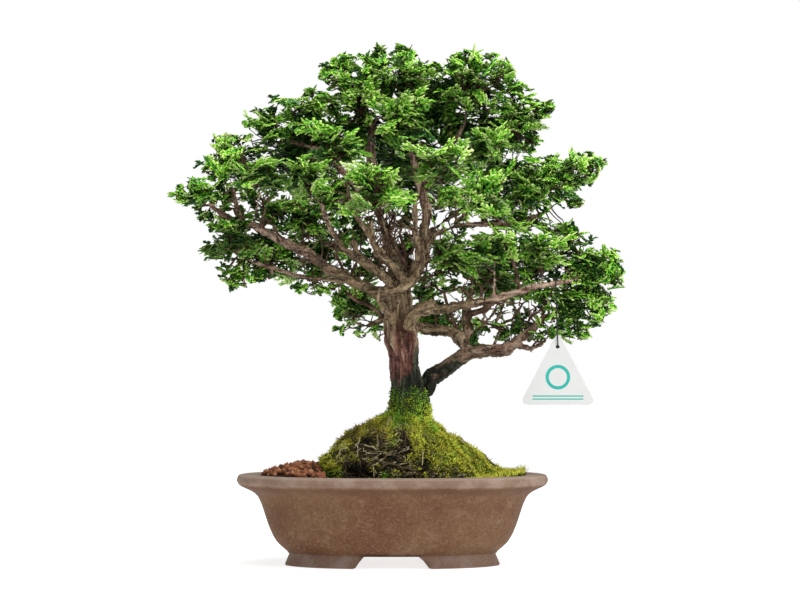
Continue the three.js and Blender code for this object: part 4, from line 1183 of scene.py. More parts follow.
# sprays that stand a little aside of their place or are smaller: across, up, and scale
moved = {
    "foliage_left_tip": (0.004, 0.002, 0.85), "foliage_left_outer_high": (0.003, -0.002, 0.93),
    "foliage_shoulder_outer": (0.009, -0.001, 0.91), "foliage_left_low_outer": (0.003, 0.006, 0.90),
    "foliage_left_low": (-0.004, 0.006, 0.97), "foliage_left_low_back": (0.0, 0.008, 0.93),
    "foliage_low_back_left": (0.006, 0.009, 0.85), "foliage_low_back": (0.0, 0.003, 0.96),
    "foliage_right_high_outer": (-0.002, 0.001, 0.87), "foliage_crown_right_outer": (-0.004, 0.001, 0.96),
    "foliage_crown_right": (-0.002, 0.000, 0.99), "foliage_crown_top": (0.0, -0.002, 0.97),
    "foliage_crown_left": (-0.001, -0.001, 0.98), "foliage_right_low_end": (0.0, -0.010, 0.97),
    "foliage_right_low_hang": (-0.008, 0.003, 0.93), "foliage_right_low_under": (-0.001, 0.005, 0.96),
}
# small sprays between the large ones: middle (across, depth, height), and half of the width and the height
between = [
    (-0.019, 0.01, 0.5015, 0.02, 0.011), (-0.05, 0.02, 0.499, 0.017, 0.009),
    (0.0435, 0.0, 0.494, 0.017, 0.007), (0.113, 0.0, 0.488, 0.008, 0.009),
    (0.105, 0.01, 0.478, 0.01, 0.006), (0.122, 0.0, 0.472, 0.019, 0.011),
    (0.149, 0.01, 0.457, 0.008, 0.008), (0.055, 0.01, 0.367, 0.011, 0.01),
    (0.083, 0.0, 0.502, 0.019, 0.009), (0.1, 0.0, 0.497, 0.018, 0.008), (0.0185, 0.0, 0.51, 0.011, 0.006),
    (0.095, 0.025, 0.447, 0.014, 0.011), (0.045, 0.03, 0.484, 0.012, 0.01),
    (-0.005, 0.03, 0.477, 0.008, 0.01), (-0.06, 0.03, 0.459, 0.011, 0.01), (-0.04, 0.04, 0.44, 0.012, 0.01),
    (-0.028, 0.03, 0.42, 0.01, 0.012), (-0.053, 0.02, 0.377, 0.012, 0.01),
    (-0.052, 0.01, 0.344, 0.013, 0.01), (-0.166, 0.01, 0.367, 0.009, 0.012),
    (-0.122, 0.02, 0.354, 0.015, 0.01), (-0.125, 0.02, 0.319, 0.018, 0.01),
    (-0.108, 0.025, 0.308, 0.014, 0.01), (-0.1615, 0.0, 0.288, 0.01, 0.008),
    (-0.03, 0.05, 0.29, 0.018, 0.011), (-0.017, 0.04, 0.259, 0.011, 0.008),
    (0.01, 0.02, 0.316, 0.009, 0.009), (0.012, 0.04, 0.34, 0.01, 0.012), (0.04, 0.05, 0.28, 0.017, 0.011),
    (0.027, 0.045, 0.272, 0.012, 0.01), (0.141, 0.01, 0.287, 0.017, 0.009),
    (0.1375, 0.01, 0.335, 0.016, 0.007), (0.181, 0.0, 0.277, 0.013, 0.01),
    (0.168, 0.02, 0.333, 0.015, 0.006), (0.217, 0.0, 0.297, 0.008, 0.013),
    (-0.189, 0.0, 0.352, 0.009, 0.006), (0.184, 0.0, 0.236, 0.012, 0.007), (0.196, 0.0, 0.397, 0.01, 0.009),
    (0.155, 0.01, 0.397, 0.012, 0.009), (0.112, 0.03, 0.322, 0.014, 0.008),
    (0.068, 0.03, 0.33, 0.012, 0.007), (-0.142, 0.0, 0.415, 0.012, 0.008),
    (-0.07, 0.0, 0.462, 0.012, 0.008), (-0.1225, 0.0, 0.453, 0.008, 0.005),
    (0.172, 0.0, 0.366, 0.011, 0.005), (0.137, 0.01, 0.421, 0.01, 0.009),
    (-0.056, 0.02, 0.262, 0.006, 0.01), (0.151, 0.01, 0.266, 0.009, 0.009),
    (-0.18, 0.0, 0.394, 0.011, 0.009), (-0.128, 0.0, 0.45, 0.009, 0.005),
    (-0.118, 0.0, 0.462, 0.012, 0.004), (-0.16, 0.0, 0.42, 0.013, 0.005),
    (-0.14, 0.01, 0.362, 0.009, 0.012), (-0.172, 0.0, 0.375, 0.011, 0.008),
    (-0.211, 0.0, 0.37, 0.01, 0.004), (-0.079, 0.02, 0.278, 0.016, 0.005),
    (-0.154, 0.0, 0.284, 0.011, 0.005), (-0.168, 0.0, 0.305, 0.013, 0.004),
    (-0.047, 0.03, 0.236, 0.01, 0.004), (0.186, 0.0, 0.324, 0.014, 0.006),
    (0.178, 0.0, 0.327, 0.009, 0.005), (0.22, 0.0, 0.283, 0.008, 0.011), (0.203, 0.0, 0.247, 0.01, 0.01),
    (0.205, 0.0, 0.402, 0.006, 0.007), (0.158, 0.0, 0.46, 0.005, 0.006),
    (-0.062, 0.01, 0.387, 0.011, 0.007), (-0.057, 0.02, 0.359, 0.014, 0.005),
    (0.128, 0.01, 0.348, 0.01, 0.005), (0.163, 0.0, 0.232, 0.014, 0.005), (0.146, 0.0, 0.227, 0.009, 0.005),
    (-0.062, 0.0, 0.491, 0.009, 0.005), (-0.05, 0.01, 0.502, 0.009, 0.004),
    (-0.013, 0.0, 0.514, 0.006, 0.004), (0.005, 0.0, 0.512, 0.006, 0.005), (0.06, 0.0, 0.502, 0.006, 0.005),
    (0.113, 0.0, 0.493, 0.006, 0.008), (-0.0815, 0.0, 0.4695, 0.008, 0.004),
    (-0.121, 0.0, 0.369, 0.013, 0.006), (-0.086, 0.0, 0.363, 0.01, 0.004),
    (-0.149, 0.0, 0.364, 0.006, 0.004), (-0.182, 0.0, 0.346, 0.006, 0.005),
    (-0.174, 0.0, 0.336, 0.005, 0.006), (-0.186, 0.0, 0.3135, 0.007, 0.004),
    (-0.15, 0.0, 0.308, 0.008, 0.005), (-0.153, 0.0, 0.295, 0.006, 0.007),
    (-0.096, 0.0, 0.277, 0.01, 0.005), (-0.052, 0.02, 0.262, 0.006, 0.014),
    (-0.038, 0.01, 0.344, 0.006, 0.006), (-0.048, 0.01, 0.299, 0.008, 0.008),
    (0.08, 0.02, 0.342, 0.01, 0.004), (0.124, 0.01, 0.324, 0.01, 0.009), (0.177, 0.0, 0.32, 0.011, 0.006),
    (0.15, 0.01, 0.342, 0.008, 0.008), (0.16, 0.0, 0.369, 0.011, 0.009), (0.183, 0.0, 0.363, 0.008, 0.004),
    (0.2095, 0.0, 0.4, 0.005, 0.006), (0.222, 0.0, 0.299, 0.007, 0.012), (0.211, 0.0, 0.253, 0.006, 0.006),
    (0.206, 0.0, 0.245, 0.006, 0.005), (0.193, 0.0, 0.2345, 0.005, 0.006),
    (0.173, 0.0, 0.228, 0.006, 0.004), (0.157, 0.0, 0.253, 0.005, 0.005), (0.073, 0.01, 0.29, 0.01, 0.004),
    (0.05, 0.02, 0.286, 0.005, 0.005), (0.033, 0.02, 0.29, 0.006, 0.004), (0.126, 0.0, 0.284, 0.012, 0.006),
    (-0.193, 0.0, 0.397, 0.005, 0.006), (-0.18, 0.0, 0.407, 0.008, 0.004),
    (0.031, 0.0, 0.499, 0.008, 0.005), (0.066, 0.0, 0.506, 0.009, 0.004),
    (-0.047, 0.0, 0.507, 0.007, 0.003), (0.155, 0.0, 0.451, 0.006, 0.009),
    (0.14, 0.01, 0.402, 0.012, 0.006), (0.197, 0.0, 0.324, 0.01, 0.005), (0.171, 0.0, 0.335, 0.008, 0.004),
    (-0.212, 0.0, 0.3715, 0.006, 0.004), (-0.161, 0.0, 0.28, 0.006, 0.004),
    (-0.052, 0.03, 0.234, 0.006, 0.005), (0.196, 0.0, 0.408, 0.008, 0.004),
    (-0.0635, 0.0, 0.495, 0.0065, 0.006), (-0.0655, 0.0, 0.4865, 0.0055, 0.004),
    (-0.061, 0.0, 0.48, 0.008, 0.004), (-0.0635, 0.0, 0.4655, 0.007, 0.004),
    (-0.122, 0.0, 0.467, 0.006, 0.003), (-0.1445, 0.0, 0.4395, 0.004, 0.004),
    (-0.152, 0.0, 0.4235, 0.012, 0.004), (-0.176, 0.0, 0.3655, 0.006, 0.004),
    (-0.168, 0.0, 0.355, 0.006, 0.004), (-0.1505, 0.0, 0.3565, 0.004, 0.004),
    (-0.184, 0.0, 0.3155, 0.007, 0.003), (-0.168, 0.0, 0.296, 0.005, 0.005),
    (-0.1085, 0.0, 0.2765, 0.005, 0.004), (-0.0715, 0.01, 0.273, 0.006, 0.004),
    (-0.0485, 0.02, 0.276, 0.004, 0.003), (-0.046, 0.0, 0.456, 0.006, 0.006),
    (-0.0515, 0.0, 0.444, 0.004, 0.004), (-0.0225, 0.0, 0.448, 0.004, 0.004),
    (-0.0305, 0.0, 0.399, 0.005, 0.003), (0.076, 0.0, 0.398, 0.009, 0.005),
    (0.104, 0.0, 0.464, 0.008, 0.004), (0.0775, 0.0, 0.5095, 0.006, 0.005),
    (0.0975, 0.0, 0.508, 0.009, 0.003), (0.0065, 0.0, 0.516, 0.003, 0.003),
    (0.122, 0.0, 0.48, 0.006, 0.004), (0.142, 0.0, 0.461, 0.007, 0.004), (-0.174, 0.0, 0.425, 0.009, 0.003),
    (0.14, 0.0, 0.473, 0.006, 0.003), (0.149, 0.0, 0.4235, 0.004, 0.003), (0.2, 0.0, 0.3875, 0.005, 0.003),
    (0.15, 0.0, 0.3535, 0.009, 0.004), (-0.179, 0.0, 0.308, 0.008, 0.003),
    (0.1735, 0.01, 0.309, 0.009, 0.004), (0.16, 0.01, 0.268, 0.008, 0.004),
    (0.091, 0.01, 0.345, 0.008, 0.005), (0.0415, 0.01, 0.348, 0.004, 0.005),
    (0.0505, 0.01, 0.322, 0.006, 0.004), (0.13, 0.0, 0.3215, 0.005, 0.003),
    (0.2265, 0.0, 0.293, 0.004, 0.006), (0.216, 0.0, 0.265, 0.005, 0.005),
    (0.2025, 0.0, 0.234, 0.004, 0.003), (0.1905, 0.0, 0.2285, 0.005, 0.003),
    (0.1525, 0.0, 0.238, 0.006, 0.004), (-0.14, 0.01, 0.371, 0.01, 0.004),
    (-0.138, 0.0, 0.281, 0.011, 0.003), (-0.161, 0.0, 0.2765, 0.004, 0.004),
    (-0.169, 0.0, 0.2875, 0.005, 0.004), (-0.0885, 0.01, 0.369, 0.008, 0.004),
    (-0.0715, 0.01, 0.366, 0.007, 0.004), (-0.003, 0.0, 0.488, 0.007, 0.005),
    (0.1815, 0.0, 0.335, 0.005, 0.005), (0.018, 0.01, 0.3665, 0.006, 0.004),
    (0.0135, 0.01, 0.3585, 0.005, 0.003), (0.168, 0.0, 0.241, 0.007, 0.006),
    (0.2225, 0.0, 0.3105, 0.004, 0.002), (0.162, 0.0, 0.246, 0.005, 0.004),
    (0.069, 0.01, 0.3225, 0.008, 0.004), (0.105, 0.01, 0.331, 0.009, 0.004),
    (-0.1065, 0.0, 0.3625, 0.009, 0.003), (-0.064, 0.0, 0.4985, 0.006, 0.003),
    (-0.181, 0.0, 0.334, 0.003, 0.005), (-0.19, 0.0, 0.3465, 0.006, 0.002),
    (-0.0585, 0.01, 0.2755, 0.005, 0.003), (-0.0545, 0.01, 0.2455, 0.004, 0.005),
    (0.1575, 0.0, 0.229, 0.005, 0.003), (0.1675, 0.0, 0.3155, 0.005, 0.003),
    (0.186, 0.0, 0.4065, 0.008, 0.003), (0.1985, 0.0, 0.4095, 0.006, 0.002),
    (0.1465, 0.0, 0.4475, 0.004, 0.006), (0.1435, 0.0, 0.431, 0.004, 0.006),
    (0.1365, 0.0, 0.4625, 0.004, 0.003), (0.0805, 0.01, 0.394, 0.005, 0.006),
    (-0.108, 0.0, 0.456, 0.006, 0.005), (-0.1375, 0.0, 0.4535, 0.004, 0.003),
    (-0.0185, 0.0, 0.508, 0.005, 0.004), (-0.014, 0.0, 0.5145, 0.004, 0.003),
    (-0.001, 0.0, 0.509, 0.003, 0.005), (-0.2195, 0.0, 0.3695, 0.005, 0.004),
    (0.19, 0.0, 0.381, 0.008, 0.003), (0.169, 0.0, 0.3585, 0.009, 0.003), (0.16, 0.0, 0.4045, 0.012, 0.002),
    (0.1405, 0.0, 0.4135, 0.004, 0.003), (0.144, 0.0, 0.4625, 0.006, 0.002),
    (-0.082, 0.0, 0.47, 0.006, 0.003), (-0.0565, 0.01, 0.232, 0.004, 0.004),
    (-0.034, 0.01, 0.232, 0.004, 0.004), (-0.0175, 0.01, 0.231, 0.007, 0.002),
    (0.07, 0.01, 0.3435, 0.007, 0.003), (0.039, 0.01, 0.3635, 0.005, 0.003),
    (0.202, 0.0, 0.236, 0.005, 0.004), (0.192, 0.0, 0.2245, 0.005, 0.002),
    (-0.0465, 0.01, 0.448, 0.006, 0.003), (0.0565, 0.01, 0.377, 0.006, 0.002),
    (-0.012, 0.0, 0.5165, 0.004, 0.002), (0.015, 0.0, 0.514, 0.006, 0.002),
    (-0.0835, 0.0, 0.472, 0.005, 0.002), (0.18, 0.0, 0.3605, 0.006, 0.002),
    (0.213, 0.0, 0.281, 0.005, 0.004), (0.197, 0.0, 0.384, 0.006, 0.004),
    # in front of the crown's own limbs
    (-0.012, -0.022, 0.496, 0.014, 0.008), (0.008, -0.022, 0.499, 0.01, 0.008),
    (-0.025, -0.02, 0.5, 0.009, 0.006), (-0.03, -0.03, 0.486, 0.012, 0.007),
    (0.06, -0.022, 0.495, 0.01, 0.007), (0.115, -0.022, 0.487, 0.008, 0.006),
]
# and in the deep shade between the limbs
shaded = [
    (0.1265, 0.015, 0.237, 0.008, 0.005), (0.149, 0.02, 0.257, 0.006, 0.006),
    (0.0495, 0.02, 0.245, 0.006, 0.004), (0.1125, 0.02, 0.227, 0.006, 0.004),
    (0.138, 0.01, 0.265, 0.008, 0.006), (0.0855, 0.0, 0.273, 0.007, 0.004),
    (0.112, 0.01, 0.28, 0.012, 0.009), (0.0635, 0.02, 0.27, 0.006, 0.004),
    (0.062, 0.02, 0.281, 0.005, 0.004), (-0.0355, 0.02, 0.322, 0.014, 0.009),
    (-0.0175, 0.03, 0.307, 0.012, 0.01), (-0.013, 0.03, 0.236, 0.006, 0.005),
    (0.058, 0.025, 0.249, 0.01, 0.006), (0.083, 0.015, 0.233, 0.004, 0.012),
    (0.113, 0.015, 0.229, 0.007, 0.008), (0.093, 0.015, 0.236, 0.009, 0.003),
    (0.015, 0.02, 0.35, 0.009, 0.006), (-0.009, 0.02, 0.352, 0.005, 0.005),
    (0.105, 0.015, 0.237, 0.006, 0.004), (0.1245, 0.015, 0.234, 0.009, 0.007),
    (0.1385, 0.012, 0.236, 0.01, 0.007), (0.128, 0.014, 0.248, 0.006, 0.005),
    (0.1055, 0.014, 0.249, 0.003, 0.008), (0.002, 0.03, 0.314, 0.011, 0.008),
    (-0.034, 0.02, 0.335, 0.013, 0.012), (0.0175, 0.03, 0.314, 0.004, 0.012),
    (0.0165, 0.03, 0.3, 0.004, 0.006), (0.137, 0.012, 0.251, 0.006, 0.004),
    (0.1345, 0.012, 0.2245, 0.004, 0.003), (0.0815, 0.012, 0.2225, 0.005, 0.003),
    (-0.0485, 0.02, 0.33, 0.005, 0.004), (-0.024, 0.02, 0.3445, 0.005, 0.003),
    (0.0155, 0.02, 0.3285, 0.006, 0.003), (0.119, 0.012, 0.2595, 0.005, 0.002),
]
# hearts of old leaves inside the crown, painted near black as the crown's inner shade
deep = [
    (-0.065, 0.035, 0.425, 0.05, 0.024), (-0.01, 0.035, 0.435, 0.045, 0.028),
    (0.045, 0.03, 0.435, 0.045, 0.028), (0.098, 0.03, 0.435, 0.042, 0.032), (0.0, 0.03, 0.478, 0.045, 0.02),
    (0.07, 0.03, 0.478, 0.042, 0.02), (-0.105, 0.03, 0.405, 0.045, 0.022),
    (0.03, 0.04, 0.395, 0.045, 0.018), (0.057, 0.025, 0.367, 0.02, 0.013),
    (0.105, 0.04, 0.372, 0.045, 0.018), (-0.05, 0.04, 0.38, 0.038, 0.014),
    (0.115, 0.03, 0.305, 0.045, 0.016), (-0.125, 0.03, 0.318, 0.045, 0.016),
    (0.17, 0.02, 0.292, 0.032, 0.022), (-0.15, 0.01, 0.388, 0.028, 0.014), (0.15, 0.01, 0.385, 0.03, 0.014),
    (-0.07, 0.03, 0.365, 0.035, 0.01), (0.125, 0.03, 0.345, 0.03, 0.012), (-0.1, 0.03, 0.35, 0.04, 0.012),
]


def frondPlan():
    # one frond in its own plane, 1 long: each shoot's root, angle, length, width and how young it is
    rows = [(0.0, 0.0, 1.0, 0.8 * foliage["branchletWidth"], 0.12)]
    for i in range(foliage["shoots"]):
        along = 0.13 + 0.11 * i
        side = -1 if i % 2 else 1
        length = 0.43 * math.sin(math.pi * (0.30 + 0.45 * along))
        rows.append((along, side * math.radians(54 - 4 * i), length, foliage["branchletWidth"], 0.34))
    return np.array(rows).T


def innerPlan():
    # an old frond deep in a spray: the same habit with few broad shoots
    rows = [(0.0, 0.0, 0.9, foliage["stemWidth"], 0.0)]
    for i in range(foliage["oldShoots"]):
        angle = (-1 if i % 2 else 1) * math.radians(50 - 5 * i)
        rows.append((0.15 + 0.15 * i, angle, 0.44 - 0.03 * i, foliage["oldWidth"], 0.05))
    return np.array(rows).T


def sampleNode(name, count, random):
    # points spread evenly over the node's faces, with the faces' normals turned upwards
    mesh = nodes[name].data
    mesh.calc_loop_triangles()
    corners = fetch(mesh.vertices, "co", 3).astype(float)[fetch(mesh.loop_triangles, "vertices", 3, np.int32)]
    cross = np.cross(corners[:, 1] - corners[:, 0], corners[:, 2] - corners[:, 0])
    area = np.linalg.norm(cross, axis=1)
    face = random.choice(len(area), count, p=area / area.sum())
    a, b = random.uniform(0, 1, (2, count, 1))
    fold = a + b > 1
    a, b = np.where(fold, 1 - a, a), np.where(fold, 1 - b, b)
    chosen = corners[face]
    places = chosen[:, 0] + a * (chosen[:, 1] - chosen[:, 0]) + b * (chosen[:, 2] - chosen[:, 0])
    normals = unit(cross[face])
    return places, normals * np.where(normals[:, 2:] < 0, -1, 1)


def frondFinish():
    # old scale leaves are deep green, young tips yellow green, with a cooler or warmer tone frond by frond;
    # the inner layer darkens them for old leaves and as painted shade in and under the sprays
    finish = Finish("cypress_leaves", specular=0.3)
    young, tone, inner = (finish.layer(name) for name in ("young", "tone", "inner"))
    place = finish.place()
    fine = finish.noise(place, 420.0, 2.0)
    ripe = young + (fine - 0.5) * 0.25 + (tone - 0.5) * 0.45
    leaf = finish.ramp(ripe, (0.05, "0a2c04"), (0.28, "308414"), (0.5, "7fcc30"),
                       (0.72, "c1f45b"), (0.95, "f2ffb8"))
    cool = finish.mix(0.5, leaf, "3d6f52")
    leaf = finish.mix(1 - finish.mask(tone, 0.04, 0.2), leaf, cool)
    # inner darkens the leaves: old ones, and painted shade
    finish.feed("Base Color", finish.mix(inner * 0.88, leaf, "082804"))
    finish.feed("Roughness", 0.42 + 0.2 * fine)
    return finish


def shootMesh(roots, ahead, face, long, plan, form, random):
    # every frond has its own bend; a shoot is a three-sided bar that bends forwards, lobed ring by ring
    aside = np.cross(face, ahead)
    u, angle, length, width, young = plan
    count, shoots = len(roots), len(u)
    angle = angle + random.normal(0, 0.12, (count, shoots))
    stem = length[0]
    length = length * random.uniform(0.75, 1.2, (count, shoots))
    length[:, 0] = stem
    width = width * random.uniform(0.85, 1.15, (count, shoots)) / long[:, None]
    side = random.uniform(0.8, 1.1, (count, 1))
    along, left, right, thick = form.T
    nought = 0 * along
    reach = np.stack([along + 0.06 * (left > 0.7), along, along + 0.06 * (right > 0.7)], -1).ravel()
    reach = np.concatenate([[0], reach, [1]])
    across = np.concatenate([[0], np.stack([left, nought, -right], -1).ravel() / 2, [0]])
    above = np.concatenate([[0], np.stack([nought, thick, nought], -1).ravel() / 2, [0]])
    dirU, dirV = np.cos(angle)[..., None], (np.sin(angle) * side)[..., None]
    length, width = length[..., None], width[..., None]
    forwards = reach * dirU + 0.16 * reach ** 2 * np.abs(dirV)
    flatU = u[None, :, None] + length * forwards - dirV * across * width
    flatV = length * reach * dirV * (1 - 0.12 * reach) + dirU * across * width
    raised = above * foliage["thickness"] * width + 0.05 * random.normal(size=(count, shoots, 1)) * reach
    cup = foliage["cup"] * random.uniform(-0.3, 1.8, (count, 1, 1))
    droop = foliage["droop"] * random.uniform(-1.2, 2.0, (count, 1, 1))
    raised = raised + cup * np.abs(flatV) - droop * flatU ** 2
    points = roots[:, None, None] + long[:, None, None, None] * (
        flatU[..., None] * ahead[:, None, None] + flatV[..., None] * aside[:, None, None]
        + raised[..., None] * face[:, None, None])
    spot = np.arange(3)
    following = (spot + 1) % 3
    last = 3 * len(form) - 2
    shootFaces = np.concatenate([
        np.stack([np.zeros(3, int), following + 1, spot + 1], -1), gridFaces(len(form), 3) + 1,
        np.stack([np.full(3, last + 3), last + spot, last + following], -1)])
    faces = repeated(shootFaces, count * shoots, len(reach))
    lobe = np.where(across != 0, 2 * np.abs(across), np.where(above > 0, 0.4, 0.7))
    age = young[None, :, None] + 0.36 * reach + 0.55 * (lobe - 0.5)
    age = age + 0.08 * random.normal(size=(count, shoots, 1))
    return points.reshape(-1, 3), faces, np.broadcast_to(age, (count, shoots, len(reach))).ravel()


def fromFront(places, x, z, width, tall):
    # places are carried along the line of sight to the plane through the pot's middle; 1 is the oval's edge
    across, depth, level = (places - centre).T
    nearer = view["distance"] / (view["distance"] + depth)
    across = view["side"] + nearer * (across - view["side"])
    level = view["height"] + nearer * (level - view["height"])
    return ((across - x) / width) ** 2 + ((level - z) / tall) ** 2


def standingFronds(places, normals, middle, half, count, heart, random):
    # fronds stand out of the spray's surface, outwards and up, over darker old ones inside it; deep in the
    # spray, low on it and in the shade places they are painted darker as shade
    old = np.arange(len(places)) >= count
    sunk = np.where(old, random.uniform(0.2, 0.65, len(places)), foliage["drawnIn"])[:, None]
    places = middle + sunk * (places - middle)
    out = places - middle
    depth = np.linalg.norm(out / half, axis=1)
    flat = unit(out * [1, 1, 0.2] + 0.004 * random.normal(size=out.shape))
    slope = unit(flat - (flat * normals).sum(-1, keepdims=True) * normals)
    along, outwards, upwards, chance = foliage["ahead"]
    ahead = unit(along * slope + outwards * flat + [0, 0, upwards]
                 + chance * random.normal(size=out.shape) * [1, 1, 0.6])
    along, outwards, upwards, chance = foliage["face"]
    face = unit(along * normals + outwards * flat + [0, 0, upwards] + chance * random.normal(size=out.shape))
    face = unit(face - (face * ahead).sum(-1, keepdims=True) * ahead)
    long = random.uniform(foliage["shortest"], foliage["longest"], len(places))
    long = long * np.clip(0.62 + 8 * half.mean(), 0.6, 1) * np.where(old, 0.8 + 0.5 * heart, 1)
    long = np.minimum(long, 0.0065 + 1.3 * half.max())
    roots = places - ahead * (long * np.where(old, 0.5, 1 - foliage["reachPast"]))[:, None]
    # inner paints shade: darker deep in the spray and low on it, more for the shaded and deep sprays, and
    # darker still for the old fronds
    inner = np.clip(0.93 - depth - 0.52 * (out[:, 2] / half[2]) + heart, 0, 0.8) + 0.5 * old
    inner = inner + 0.3 * (random.uniform(0, 1, len(old)) < 0.18) * ~old
    inner = inner * np.where(old, random.uniform(0.72, 1, len(old)), 1)
    tone = np.clip(random.normal(0.5, 0.08) + 0.19 * random.normal(size=len(places)), 0, 1)
    seen = roots + 0.5 * long[:, None] * ahead
    inner = inner + sum(dark * np.exp(-fromFront(seen, *oval)) for *oval, dark in shadePlaces)
    free = ~np.any([fromFront(seen, *oval) < 1 for oval in openings], 0)
    leafy = ~old & free
    grown, shades = [], []
    for plan, form, group in ((frondPlan(), comb, leafy), (innerPlan(), spindle, old & free)):
        own = (values[group] for values in (roots, ahead, face, long))
        points, faces, age = shootMesh(*own, plan, form, random)
        each = plan.shape[1] * (3 * len(form) + 2)
        grown.append((points, faces))
        shades.append((age, np.repeat(tone[group], each), np.repeat(np.clip(inner[group], 0, 1), each)))
    layers = {layer: np.concatenate(rows) for layer, rows in zip(("young", "tone", "inner"), zip(*shades))}
    spray = (middle - [0, 0, 0.4 * half[2]], roots[leafy], (roots + 0.12 * long[:, None] * ahead)[leafy])
    return *joined(grown), layers, spray


def makeFronds(name, count, innerCount, finish, random):
    low, high = (np.array(corner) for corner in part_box(name))
    middle, half = (low + high) / 2, (high - low) / 2
    places, normals = sampleNode(name, count + innerCount, random)
    across, up, scale = moved.get(name, (0, 0, 1))
    places = middle + scale * (places - middle) + [across, 0, up]
    middle, half = middle + [across, 0, up], scale * half
    points, faces, layers, spray = standingFronds(places, normals, middle, half, count, 0.0, random)
    finishPiece(makeMesh(name.replace("foliage", "fronds"), points, faces, layers), finish, "foliage", name)
    return spray


def makeBetween(finish):
    # the small sprays are drawn on flattened balls, each with numbers drawn for its own place
    sprays = []
    total = sum(width * tall for *_, width, tall in between)
    deepTotal = sum(width * tall for *_, width, tall in deep)
    # dark paints the sprays darker as shade: the shaded ones by half, the deep hearts near black
    leafyRows = [*((row, 0.0) for row in between), *((row, 0.5) for row in shaded)]
    for name, rows in (("fronds_between", leafyRows), ("fronds_inside", [(row, 1.0) for row in deep])):
        grown, shades = [], []
        for (x, y, z, width, tall), dark in rows:
            count = max(2, round(foliage["betweenFronds"] * width * tall / total)) * (dark < 1)
            old = count + (round(foliage["deepFronds"] * width * tall / deepTotal) if dark == 1 else 0)
            half = np.array([width, (0.9 if dark < 1 else 0.6) * width, tall])
            middle = centre + [x, y, z]
            random = np.random.default_rng([round(10000 * (value + 1)) for value in (x, y, z)])
            normals = unit(random.normal(size=(count + old, 3)))
            places = middle + normals * half * (1 if dark < 1 else 1.6)
            normals = unit(normals / half)
            normals *= np.where(normals[:, 2:] < 0, -1, 1)
            points, faces, layers, spray = standingFronds(places, normals, middle, half, count, dark, random)
            grown.append((points, faces))
            shades.append(layers)
            sprays.append(spray)
        layers = {layer: np.concatenate([row[layer] for row in shades]) for layer in shades[0]}
        finishPiece(makeMesh(name, *joined(grown), layers), finish, "foliage")
    return sprays


def crooked(first, bend, last, steps, wander, random):
    # lines from first to last by way of bend, with a few random kinks
    share = np.linspace(0, 1, steps)[None, :, None]
    line = (1 - share) ** 2 * first[:, None] + 2 * share * (1 - share) * bend[:, None]
    line = line + share ** 2 * last[:, None]
    kinks = random.normal(0, 1, line.shape) * np.sin(math.pi * share) ** 0.5
    return line + wander * kinks


